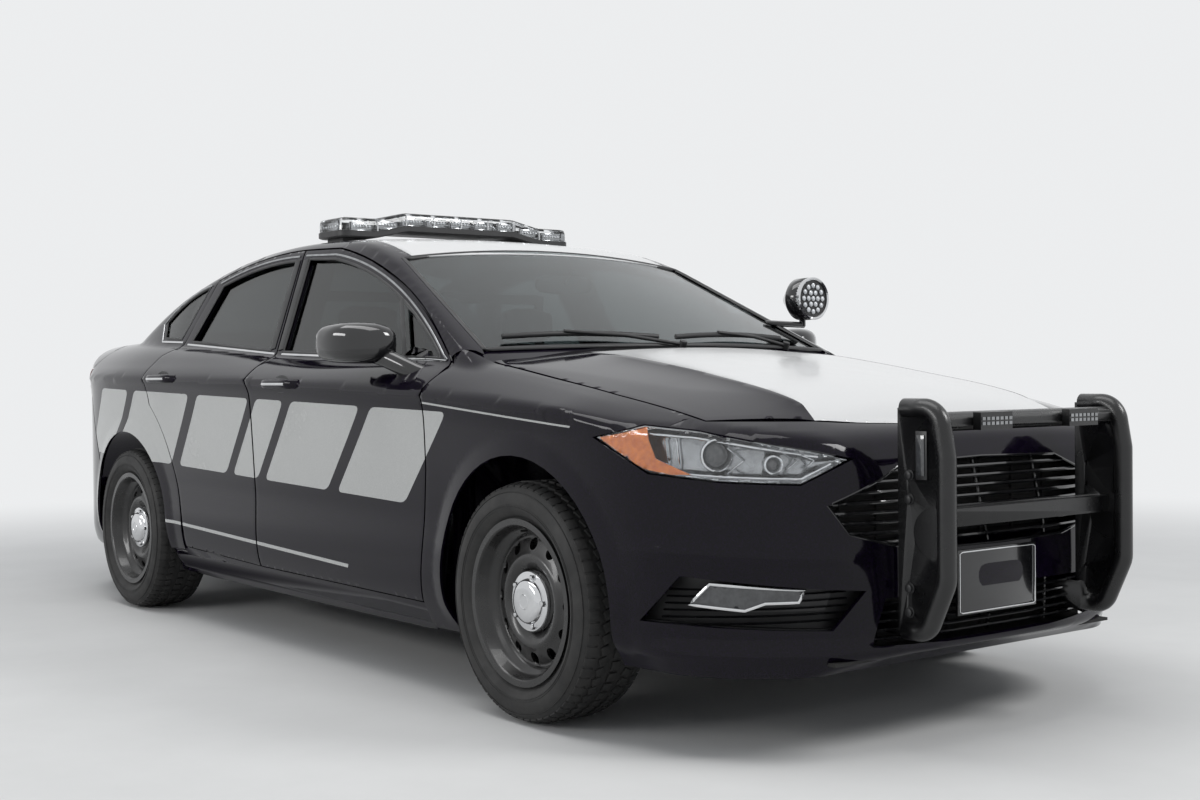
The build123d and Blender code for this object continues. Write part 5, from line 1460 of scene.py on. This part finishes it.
def under_skin(node, gap=0.006):
    """A panel's own CAD shape with its outer face set a little under the drawn skin, and less its square mirror."""
    mesh = frame["nodes"][node].data.copy()
    mesh.name = node + "_inner"
    work = bmesh.new()
    work.from_mesh(mesh)
    bmesh.ops.remove_doubles(work, verts=work.verts, dist=1e-5)
    if node.startswith("front_door"):
        drop_mirror(work)
        ease_shut_edge(work)
    points = np.array([v.co[:] for v in work.verts])
    slope = np.column_stack([(body_depth(points + axis) - body_depth(points - axis)) / 2e-4
                             for axis in np.eye(3) * 1e-4])
    steep = np.maximum(np.linalg.norm(slope, axis=1), 0.3)
    short = np.clip(gap - relief(points) * 0.3 - body_depth(points) / steep, 0, 0.06)
    points += slope / steep[:, None] * short[:, None]
    for v, point in zip(work.verts, points):
        v.co = point
    work.to_mesh(mesh)
    work.free()
    mesh.shade_smooth()
    mesh.set_sharp_from_angle(angle=math.radians(30))
    add_piece(node + "_inner", mesh, PAINT, NODE_BODY[node], (node,))


def build_handles():
    half = 0.120
    for name, x, z in (("front_door", 0.054, 0.934), ("rear_door", -0.990, 0.956)):
        span = np.linspace(-half, half, 21)
        base = side_points(np.column_stack(((x + span) * 1000, np.full(21, z * 1000))))
        reach = 0.032 * np.clip(1 - (np.abs(span) / half) ** 6, 0, 1) + 0.002
        path = base - np.column_stack((reach * 0, reach, reach * 0))
        bar = rope(path, 0.009, 12, flat=1.8)
        strip = rope((path - np.array((0, 0.0085, 0)))[3:-3], 0.0022, 8, flat=2.0)
        # A thin dark oval of satin trim, proud of the skin behind the bar: painted shade standing in for the handle's
        # recess
        shade_oval_mid = side_points([(x * 1000 - 8, z * 1000)])[0]
        cup = turned([(0, -0.001), (0.044, -0.001), (0.042, 0.0016), (0, 0.0016)], 32, shade_oval_mid, (0, -1, 0.05))
        cup = (shade_oval_mid + (cup[0] - shade_oval_mid) * np.array((1.55, 1, 0.72)), cup[1])
        for side in ("right", "left"):
            body = name + "_" + side
            add_shapes(name + "_handle_" + side, on_side([bar], side), PAINT, body, angle=60)
            # The dark oval of painted recess shade, in satin trim
            add_shapes(name + "_handle_cup_" + side, on_side([cup], side), TRIM, body)
            add_shapes(name + "_handle_strip_" + side, on_side([strip], side), CHROME, body, angle=60)


build_headlamps()
build_fog_lamps()
build_grille()
build_radiator()
build_plate()
build_guard_fittings()
build_light_bar()
build_spotlight()
build_mirrors()
for node in ("body_shell", "front_door_right", "front_door_left", "rear_door_right", "rear_door_left"):
    under_skin(node)
build_handles()


# Wheels, with tread blocks and centre caps

# Section of the tyre: radius and distance from its middle
TYRE_ROWS = [(0.218, -0.0935), (0.234, -0.0945), (0.254, -0.1145), (0.275, -0.1175), (0.300, -0.1130), (0.316, -0.1020),
             (0.3245, -0.0900), (0.3262, -0.0600), (0.3266, 0.0), (0.3262, 0.0600), (0.3245, 0.0900), (0.316, 0.1020),
             (0.300, 0.1130), (0.275, 0.1175), (0.254, 0.1145), (0.234, 0.0945), (0.218, 0.0935), (0.218, 0.0815),
             (0.256, 0.0875), (0.293, 0.1030), (0.314, 0.0900), (0.318, 0.0), (0.314, -0.0900), (0.293, -0.1030),
             (0.256, -0.0875), (0.218, -0.0815)]
# Rows of tread blocks: place across the tyre, width, skew, length, count, cant
TREAD_ROWS = ((-0.0870, 0.0300, 0.0, 0.0250, 64, 0.30), (-0.0470, 0.0250, 0.4, 0.0255, 64, 0.0),
              (0.0, 0.0260, 0.0, 0.0270, 56, 0.0), (0.0470, 0.0250, -0.4, 0.0255, 64, 0.0),
              (0.0870, 0.0300, 0.0, 0.0250, 64, -0.30))


def build_wheels():
    for corner, x, y in (("front_left", FRONT_AXLE_X, 1), ("front_right", FRONT_AXLE_X, -1),
                         ("rear_left", REAR_AXLE_X, 1), ("rear_right", REAR_AXLE_X, -1)):
        body = NODE_BODY["wheel_" + corner]
        hub = np.array((x, y * HALF_TRACK, TYRE_R))
        way = (0, y, 0)
        rings = [turned(TYRE_ROWS, 96, hub, way)]
        for r, h in ((0.262, 0.1158), (0.268, 0.1168), (0.305, 0.1112)):
            for s in (1, -1):
                foot, head = s * (h - 0.002), s * (h + 0.0012)
                rings.append(turned([(r - 0.0012, foot), (r + 0.0012, foot), (r + 0.0008, head), (r - 0.0008, head)],
                                    96, hub, way))
        add_shapes("tyre_wall_" + corner, rings, RUBBER, body, ("tyre_" + corner,), angle=40)
        pieces = []
        for row, width, skew, length, count, cant in TREAD_ROWS:
            radius = 0.3292 if abs(row) < 0.08 else 0.3225
            block = brick((-length / 2, -width / 2, -0.0042), (length / 2, width / 2, 0.0032))
            twist = np.array(Matrix.Rotation(skew, 3, "Z"))
            tip = np.array(Matrix.Rotation(cant, 3, "X"))
            stamp = joined_mesh("tread_block", [(block[0] @ twist.T @ tip.T, block[1])], bevel=0.0012)
            points, turns = [], []
            for n in range(count):
                t = 2 * math.pi * (n + (0.5 if row > 0 else 0.0)) / count
                points.append(tuple(hub + np.array((radius * math.sin(t), row, radius * math.cos(t)))))
                turns.append((0.0, t, 0.0))
            pieces.append(copies_mesh("tread", stamp, points, turns, RUBBER, 0.02, 11))
        work = bmesh.new()
        for mesh in pieces:
            work.from_mesh(mesh)
        tread = bpy.data.meshes.new("tyre_tread_" + corner)
        work.to_mesh(tread)
        work.free()
        add_piece("tyre_tread_" + corner, tread, RUBBER, body)
        smooth_copy("wheel_" + corner, 32.0)
        cap = turned([(0, 0.0852), (0.020, 0.0852), (0.034, 0.0848), (0.048, 0.0838), (0.0555, 0.0822),
                      (0.0595, 0.0780), (0.0635, 0.0684), (0.082, 0.0662), (0.0845, 0.0630), (0.0845, 0.0560),
                      (0, 0.0560)], 64, hub, way)
        ring = turned([(0.017, 0.0850), (0.0185, 0.0862), (0.0205, 0.0862), (0.022, 0.0846)], 48, hub, way)
        nuts = []
        for n in range(5):
            t = 2 * math.pi * n / 5 + 0.3
            at = hub + np.array((0.0705 * math.sin(t), 0, 0.0705 * math.cos(t)))
            nuts.append(turned([(0, 0.060), (0.0085, 0.060), (0.0085, 0.0740), (0.0060, 0.0770), (0, 0.0775)], 6,
                               at, way))
        valve = turned([(0, 0.070), (0.0035, 0.070), (0.0035, 0.095), (0, 0.096)], 10, hub + np.array((0.0, 0, 0.196)),
                       way)
        add_shapes("wheel_cap_" + corner, [cap, ring] + nuts, CHROME, body, angle=38)
        add_shapes("wheel_valve_" + corner, [valve], RUBBER, body)


# Bright and black trims round the glass

def surface_rope(pairs, radius, flat, count=10):
    """A strip on the side glass or the flank, a little proud of it."""
    return rope(lift(side_points(pairs), 0.0030), radius, count, flat=flat, up=SIDE_LEAN)


def even_run(points, count):
    """A count of even points along a polyline."""
    pts = np.array(points, float)
    gap = np.r_[0, np.cumsum(np.linalg.norm(np.diff(pts, axis=0), axis=1))]
    at = np.linspace(0, gap[-1], count)
    return np.column_stack([np.interp(at, gap, pts[:, k]) for k in range(2)])


def window_seal(window):
    loop = offset_loop(dense(trace(window), 0.02), 0.003)
    return rope(onto_side(loop), 0.0055, 8, closed=True, flat=0.7, up=SIDE_LEAN)


def add_screen_seal(name, foot, head, way):
    """A seal round a screen; foot and head give half its width, and its height at the ends and in the middle."""
    outline = []
    for (y, z, mid) in (foot, (-head[0], *head[1:])):
        outline += [(-y, z)] + arc_list((-y, z), (0, mid), (y, z), 24)[1:]
    loop = screen_points(dense(np.array(outline, float), 30), way)
    add_shapes(name, [rope(loop, 0.008, 8, closed=True, flat=0.6, up=(0.7 * way, 0, 0.7))], TRIM, "root", angle=60)


def build_trims():
    front_top = [(930, 1004)] + arc_list((905, 1016), (455, 1258), (-56, 1396), 20) + [(-300, 1408)]
    rear_top = [(-352, 1408)] + arc_list((-372, 1408), (-720, 1392), (-1000, 1341), 16)
    quarter_top = arc_list((-1080, 1336), (-1250, 1298), (-1455, 1186), 12)
    belt_front = [(925, 1000), (860, 1004), (-214, 1040)]
    belt_rear = [(-272, 1042), (-1110, 1094)]
    belt_quarter = [(-1166, 1104), (-1400, 1112), (-1455, 1186)]
    for body, belt, top in (("front_door", belt_front, front_top), ("rear_door", belt_rear, rear_top),
                            ("root", belt_quarter, quarter_top)):
        shapes = [surface_rope(even_run(belt, 40), 0.0040, 0.42)]
        # The top trims are the same chrome as the belts but take the darker lamp-bowl metal: painted shade and dark
        # reflection
        tops = [surface_rope(even_run(top, 40), 0.0036, 0.42)]
        if body == "root":
            add_shapes("window_trim_rear_post", both(shapes), CHROME, "root", angle=60)
            add_shapes("window_top_trim_rear_post", both(tops), BOWL, "root", angle=60)
            continue
        for kind, strips, finish in (("_window_top_trim_", tops, BOWL), ("_window_trim_", shapes, CHROME)):
            for side in ("right", "left"):
                add_shapes(body + kind + side, on_side(strips, side), finish, body + "_" + side, angle=60)
    front_posts = (((-236, 1056), (-290, 1392)), 0.020), (((668, 1020), (526, 1206)), 0.011)
    rear_posts = ((((-306, 1060), (-358, 1392)), 0.020),)
    for body, window, posts in (("front_door", FRONT_WINDOW, front_posts), ("rear_door", REAR_WINDOW, rear_posts)):
        seal = [window_seal(window)] + [surface_rope(even_run(line, 10), size, 0.10, count=12) for line, size in posts]
        for side in ("right", "left"):
            add_shapes(body + "_seal_" + side, on_side(seal, side), TRIM, body + "_" + side, angle=60)
    add_shapes("quarter_seal", both([window_seal(QUARTER_WINDOW)]), TRIM, "root", angle=60)
    add_screen_seal("screen_seal", (722, 1036, 1050), (606, 1358, 1400), 1)
    add_screen_seal("rear_screen_seal", (560, 1150, 1168), (500, 1388, 1424), -1)


def build_wipers():
    shapes = []
    for y0, y1, pivot in ((-640, -110, -60), (-40, 500, 470)):
        ys = np.linspace(y0, y1, 14)
        rise = 1066 + 10 * np.sin(np.linspace(0, math.pi, 14))
        blade = screen_points(np.column_stack((ys, rise)), fine=False) + np.array((0.006, 0, 0.010))
        shapes.append(rope(blade, 0.0055, 8, flat=1.6))
        mid = blade[5]
        foot = screen_points([(pivot, 1046)])[0] + np.array((0.012, 0, 0.004))
        arm = [foot, foot * 0.5 + mid * 0.5 + np.array((0.006, 0, 0.012)), mid + np.array((0.002, 0, 0.008))]
        shapes.append(rope(arm, 0.0060, 8))
        shapes.append(turned([(0, -0.012), (0.014, -0.012), (0.012, 0.012), (0, 0.014)], 16, foot, (0.4, 0, 0.9)))
    add_shapes("wipers", shapes, TRIM, "root", angle=50)


def build_tail_lamps():
    outline = np.vstack((side_points([(-2014, 1003), (-2200, 1003), (-2400, 1000)]),
                         tail_points([(-600, 996), (-503, 990), (-503, 885), (-640, 885)]),
                         side_points([(-2400, 885), (-2078, 885)])))
    uv, tri = fill_region(to_end(outline, "rear"), [], 0.016)
    base = onto_end(uv, "rear")
    lens = sheet_mesh("tail_lamp_lens", lift(base, 0.0030), tri, 0.0020, 0.001, outward_all)
    bowl = sheet_mesh("tail_lamp_face", lift(base, 0.0006), tri, 0.0060, 0.0, outward_all)
    for name, mesh, material, replaced in (("tail_lamp_lens", lens, LAMP_RED, ("tail_lamps",)),
                                           ("tail_lamp_face", bowl, RED_FACE, ())):
        add_piece(name + "_right", mesh, material, "root")
        add_piece(name + "_left", mirrored(mesh, name + "_left"), material, "root", replaced)
    us = np.linspace(-2075, -2380, 30)
    strip = lift(side_points(np.column_stack((us, np.full(30, 952.0)))), -0.0012)
    corner = np.vstack((top_points([(-2036, 588), (-2180, 591), (-2398, 586), (-2436, 604)]),
                        side_points([(-2440, 1006), (-2200, 1009), (-2012, 1009)])))
    panel("deck_corner_right", to_round(corner), [], 0.014, from_round, "root", PAINT, thick=0.003,
          both=("deck_corner_left", "root"))
    backing = brick((-2.370, -0.560, 0.850), (-2.320, -0.500, 0.970))
    add_shapes("tail_lamp_backing", both([backing]), UNDER, "root")
    add_shapes("tail_lamp_strip", both([rope(strip, 0.004, 8)]), CHROME, "root")


build_wheels()
build_trims()
build_wipers()
build_tail_lamps()


# Padded seats: each cushion swells under a cloth simulation, then gets its sewn channels

PAD_VOXEL, PAD_FRAMES, PAD_CAP = 0.018, 20, 0.012  # edge length of a pad's faces, frames of cloth, limit of its swell


def prism_shape(side, low, high, crown=0.0, taper=0.0, rows=9):
    """A closed outline of x and z, in metres, carried across the car, narrower and crowned towards its ends."""
    side = np.array(side, float)
    mid = side.mean(axis=0)
    rings = []
    for t in np.linspace(-1, 1, rows):
        ring = mid + (side - mid) * (1 - crown * abs(t) ** 3)
        y = (low + high) / 2 + t * (high - low) / 2
        rings.append(np.column_stack((ring[:, 0], np.full(len(ring), y), ring[:, 1])))
    count = len(side)
    if taper:
        for ring in rings:
            rise = np.clip((ring[:, 2] - side[:, 1].min()) / np.ptp(side[:, 1]), 0, 1)
            ring[:, 1] = (low + high) / 2 + (ring[:, 1] - (low + high) / 2) * (1 - taper * rise ** 2)
    return np.vstack(rings), stack_faces(rows, count) + end_faces(rows, count)


def start_pad(name, shape):
    """A pad's mesh with even faces, ready to swell."""
    mesh = joined_mesh(name + "_form", [shape])
    form = bpy.data.objects.new(name + "_form", mesh)
    bpy.context.scene.collection.objects.link(form)
    step = form.modifiers.new("Even faces", "REMESH")
    step.mode = "VOXEL"
    step.voxel_size = PAD_VOXEL
    bpy.context.view_layer.update()
    even_mesh = bpy.data.meshes.new_from_object(form.evaluated_get(bpy.context.evaluated_depsgraph_get()))
    bpy.data.objects.remove(form)
    even_mesh.name = name
    pad = bpy.data.objects.new(name, even_mesh)
    bpy.context.scene.collection.objects.link(pad)
    return pad


def swell(pads, cap):
    """Runs the cloth of all the pads together and keeps each point within a cap of where it started."""
    scene = bpy.context.scene
    scene.frame_start, scene.frame_end = 1, PAD_FRAMES
    for pad in pads:
        cloth = pad.modifiers.new("Swell", "CLOTH")
        cloth.settings.use_pressure = True
        cloth.settings.uniform_pressure_force = 4.0
        cloth.settings.effector_weights.gravity = 0.0
        cloth.settings.quality = 4
        cloth.point_cache.frame_start, cloth.point_cache.frame_end = 1, PAD_FRAMES
    for n in range(1, PAD_FRAMES + 1):
        scene.frame_set(n)
    graph = bpy.context.evaluated_depsgraph_get()
    for pad in pads:
        swollen = bpy.data.meshes.new_from_object(pad.evaluated_get(graph))
        start = np.array([v.co[:] for v in pad.data.vertices])
        end = np.array([v.co[:] for v in swollen.vertices])
        move = end - start
        size = np.maximum(np.linalg.norm(move, axis=1), 1e-9)
        end = start + move * (np.minimum(size, cap) / size)[:, None]
        pad.modifiers.clear()
        pad.data.vertices.foreach_set("co", end.ravel())
        pad.data.update()
        bpy.data.meshes.remove(swollen)
    scene.frame_set(1)


def finish_pad(pad, body, channels, replaced=()):
    """Subdivides a pad, sews its channels in and puts it on its body."""
    step = pad.modifiers.new("Finer", "SUBSURF")
    step.levels = step.render_levels = 1
    bpy.context.view_layer.update()
    fine = bpy.data.meshes.new_from_object(pad.evaluated_get(bpy.context.evaluated_depsgraph_get()))
    name = pad.name
    bpy.data.objects.remove(pad)
    fine.name = name
    work = bmesh.new()
    work.from_mesh(fine)
    work.normal_update()
    points = np.array([v.co[:] for v in work.verts])
    normals = np.array([v.normal[:] for v in work.verts])
    depth = np.zeros(len(points))
    for axis, at, width, deep in channels:
        depth = np.maximum(depth, deep * np.exp(-((points[:, axis] - at) / width) ** 2))
    for v, point in zip(work.verts, points - normals * depth[:, None]):
        v.co = point
    work.to_mesh(fine)
    work.free()
    fine.shade_smooth()
    piece = add_piece(name, fine, CUSHION_CLOTH, body, replaced)
    return piece


def pad_side(points, inset=0.008):
    return offset_loop(dense(trace(points), 0.02), -inset)


def build_seats():
    base = [(-60, 352), (-62, 400), ((160, 452), (415, 436)), (436, 382), ((400, 312), (300, 306)), (0, 306)]
    back = [(-52, 424), (-118, 398), ((-246, 700), (-322, 1002)), (-264, 1022), ((-158, 760), (-64, 486))]
    head = [(-362, 1080), ((-366, 1160), (-348, 1222)), ((-320, 1238), (-290, 1222)), (-276, 1084)]
    rear_base = [(-1290, 300), (-1290, 464), (-900, 494), ((-806, 486), (-778, 420)), (-794, 300)]
    rear_back = [(-1110, 476), (-1292, 476), (-1292, 1034), (-1244, 1034), ((-1156, 800), (-1088, 506))]
    made = []
    for side, y in (("left", 0.370), ("right", -0.370)):
        seams = [(1, y - 0.150, 0.006, 0.008), (1, y + 0.150, 0.006, 0.008)]
        made.append(("front_cushion_" + side, prism_shape(pad_side(base), y - 0.238, y + 0.238, crown=0.10),
                     seams + [(0, 0.06, 0.006, 0.006), (0, 0.22, 0.006, 0.006)]))
        made.append(("front_backrest_" + side,
                     prism_shape(pad_side(back), y - 0.236, y + 0.236, crown=0.06, taper=0.16),
                     seams + [(2, 0.62, 0.006, 0.006), (2, 0.80, 0.006, 0.006)]))
        made.append(("headrest_" + side, prism_shape(pad_side(head), y - 0.122, y + 0.122, crown=0.22),
                     [(1, y - 0.085, 0.005, 0.004), (1, y + 0.085, 0.005, 0.004)]))
    wide = [(1, at, 0.007, 0.008) for at in (-0.36, -0.12, 0.12, 0.36)]
    made.append(("rear_cushion", prism_shape(pad_side(rear_base), -0.590, 0.590, crown=0.04, rows=15),
                 wide + [(0, -1.02, 0.007, 0.006)]))
    made.append(("rear_backrest", prism_shape(pad_side(rear_back), -0.590, 0.590, crown=0.04, rows=15),
                 wide + [(2, 0.74, 0.007, 0.006)]))
    pads = [start_pad(name, shape) for name, shape, _ in made]
    swell(pads, PAD_CAP)
    replaced = {"front_cushion_left": ("front_seats",), "rear_cushion": ("rear_seat",)}
    for pad, (name, _, channels) in zip(pads, made):
        finish_pad(pad, "root", channels, replaced.get(name, ()))
    frames = []
    for y in (-0.370, 0.370):
        frames += [brick((-0.06, y + d - 0.020, 0.2603), (0.40, y + d + 0.020, 0.306)) for d in (-0.19, 0.19)]
        frames += [rope([(-0.298, y + d, 0.985), (-0.320, y + d, 1.10)], 0.007, 12) for d in (-0.06, 0.06)]
        frames.append(brick((-0.055, y - 0.255, 0.300), (0.30, y - 0.238, 0.360)))
        frames.append(brick((-0.055, y + 0.238, 0.300), (0.30, y + 0.255, 0.360)))
    add_shapes("cushion_frames", frames, STEEL_BLACK, "root", bevel=0.002)


def build_cabin_mirror():
    stem = screen_points([(0, 1330)], fine=False)[0] + np.array((-0.030, 0, -0.010))
    body = superellipse_pod(stem + np.array((-0.060, 0.0, -0.045)), (0.016, 0.125, 0.034))
    shapes = [body, rope([stem, stem + np.array((-0.030, 0, -0.030)), stem + np.array((-0.052, 0, -0.045))], 0.006, 10)]
    add_shapes("cabin_mirror", shapes, TRIM, "root", angle=60)


def superellipse_pod(centre, size, count=28, power=0.62):
    """A closed rounded pod: a ball pressed towards a box."""
    lat = np.linspace(-math.pi / 2, math.pi / 2, count // 2 + 1)
    lon = np.linspace(0, 2 * math.pi, count, endpoint=False)
    soft = lambda v: np.sign(v) * np.abs(v) ** power
    rows = [np.column_stack((soft(np.cos(t)) * soft(np.cos(lon)), soft(np.cos(t)) * soft(np.sin(lon)),
                             soft(np.sin(t)) + lon * 0)) for t in lat]
    return np.vstack(rows) * np.array(size) + np.array(centre), stack_faces(len(lat), count)


build_seats()
build_cabin_mirror()


# Camera, floor and light

# The photograph's viewpoint: place in metres; yaw, pitch and roll in radians; lens and sensor in millimetres
CAMERA_PLACE = (4.93892, -3.31893, 0.95698)
CAMERA_TURN = (2.48353118, -0.0165963420, -0.0100526397)
CAMERA_LENS, CAMERA_SENSOR = 46.588, 36.0


def aim_camera():
    """The photograph's own viewpoint, worked out from the wheels and the ground."""
    yaw, pitch, roll = CAMERA_TURN
    ahead = Vector((math.cos(yaw) * math.cos(pitch), math.sin(yaw) * math.cos(pitch), math.sin(pitch)))
    right = ahead.cross(Vector((0, 0, 1))).normalized()
    up = right.cross(ahead)
    right, up = (math.cos(roll) * right + math.sin(roll) * up, -math.sin(roll) * right + math.cos(roll) * up)
    data = bpy.data.cameras.new("Camera")
    data.sensor_fit = "HORIZONTAL"
    data.sensor_width = CAMERA_SENSOR
    data.lens = CAMERA_LENS
    data.clip_end = 200.0
    camera = bpy.data.objects.new("Camera", data)
    turn = Matrix((right, up, -ahead)).transposed().to_4x4()
    camera.matrix_world = Matrix.Translation(CAMERA_PLACE) @ turn
    bpy.context.scene.collection.objects.link(camera)
    bpy.context.scene.camera = camera


PALE = (0.84, 0.85, 0.86)


def seen_directly(tree):
    """One where the camera looks, straight or by a reflection or through glass, and nought for the light cast."""
    path = tree.nodes.new("ShaderNodeLightPath")
    total = put(tree, "ShaderNodeMath", operation="ADD")
    whole = put(tree, "ShaderNodeMath", operation="ADD", use_clamp=True)
    wire(tree, (path, "Is Camera Ray", total, 0), (path, "Is Glossy Ray", total, 1), (total, 0, whole, 0),
         (path, "Is Transmission Ray", whole, 1))
    return whole.outputs[0]


def pale_floor():
    size = 60.0
    mesh = bpy.data.meshes.new("Floor")
    mesh.from_pydata([(-size, -size, 0), (size, -size, 0), (size, size, 0), (-size, size, 0)], [], [(0, 1, 2, 3)])
    floor = bpy.data.objects.new("Floor", mesh)
    bpy.context.scene.collection.objects.link(floor)
    material, tree, shader, place = start_material("Pale floor")
    tone = group_node(tree, WEAR, Scale=0.8, Clean=0.0, Worn=1.0)
    mix = put(tree, "ShaderNodeMix", data_type="RGBA")
    mix.inputs["A"].default_value = (0.66, 0.66, 0.65, 1)
    mix.inputs["B"].default_value = (0.72, 0.72, 0.71, 1)
    wire(tree, (place, "Object", tone, "Vector"), (tone, "Value", mix, "Factor"),
         (mix, "Result", shader, "Base Color"))
    shader.inputs["Roughness"].default_value = 0.8
    away = put(tree, "ShaderNodeVectorMath", operation="LENGTH")
    fade = put(tree, "ShaderNodeMapRange", interpolation_type="SMOOTHSTEP")
    fade.inputs["From Min"].default_value = 2.7
    fade.inputs["From Max"].default_value = 7.5
    seen = put(tree, "ShaderNodeMath", operation="MULTIPLY")
    haze = put(tree, "ShaderNodeEmission")
    haze.inputs["Color"].default_value = (*PALE, 1)
    blend = tree.nodes.new("ShaderNodeMixShader")
    wire(tree, (place, "Object", away, 0), (away, "Value", fade, "Value"), (fade, "Result", seen, 0))
    tree.links.new(seen_directly(tree), seen.inputs[1])
    wire(tree, (seen, 0, blend, 0), (shader, 0, blend, 1), (haze, 0, blend, 2))
    tree.links.new(blend.outputs[0], tree.nodes["Material Output"].inputs["Surface"])
    mesh.materials.append(material)


def soft_lamp(name, place, target, size, power):
    data = bpy.data.lights.new(name, "AREA")
    data.shape = "RECTANGLE"
    data.size, data.size_y = size
    data.energy = power
    lamp = bpy.data.objects.new(name, data)
    lamp.location = place
    lamp.rotation_euler = (Vector(target) - Vector(place)).to_track_quat("-Z", "Y").to_euler()
    bpy.context.scene.collection.objects.link(lamp)


def light_studio():
    world = bpy.data.worlds.new("Studio")
    world.use_nodes = True
    bpy.context.scene.world = world
    tree = world.node_tree
    back = tree.nodes["Background"]
    back.inputs["Color"].default_value = (0.80, 0.84, 0.90, 1)
    back.inputs["Strength"].default_value = 0.42
    pale = tree.nodes.new("ShaderNodeBackground")
    pale.inputs["Color"].default_value = (*PALE, 1)
    pale.inputs["Strength"].default_value = 1.0
    mix = tree.nodes.new("ShaderNodeMixShader")
    tree.links.new(seen_directly(tree), mix.inputs[0])
    wire(tree, (back, 0, mix, 1), (pale, 0, mix, 2))
    tree.links.new(mix.outputs[0], tree.nodes["World Output"].inputs["Surface"])
    soft_lamp("Overhead", (0.5, -1.5, 6.5), (0.0, 0.0, 0.6), (7.0, 3.0), 210)
    soft_lamp("Key", (6.5, 3.5, 5.5), (0.5, 0.0, 0.7), (2.5, 2.5), 270)
    soft_lamp("Side", (-1.0, -8.0, 3.2), (0.0, 0.0, 0.7), (5.0, 1.2), 160)


bpy.context.scene.view_settings.view_transform = "Standard"
aim_camera()
pale_floor()
light_studio()

for node in ("push_bumper", "spotlight", "steering_wheel"):
    smooth_copy(node)
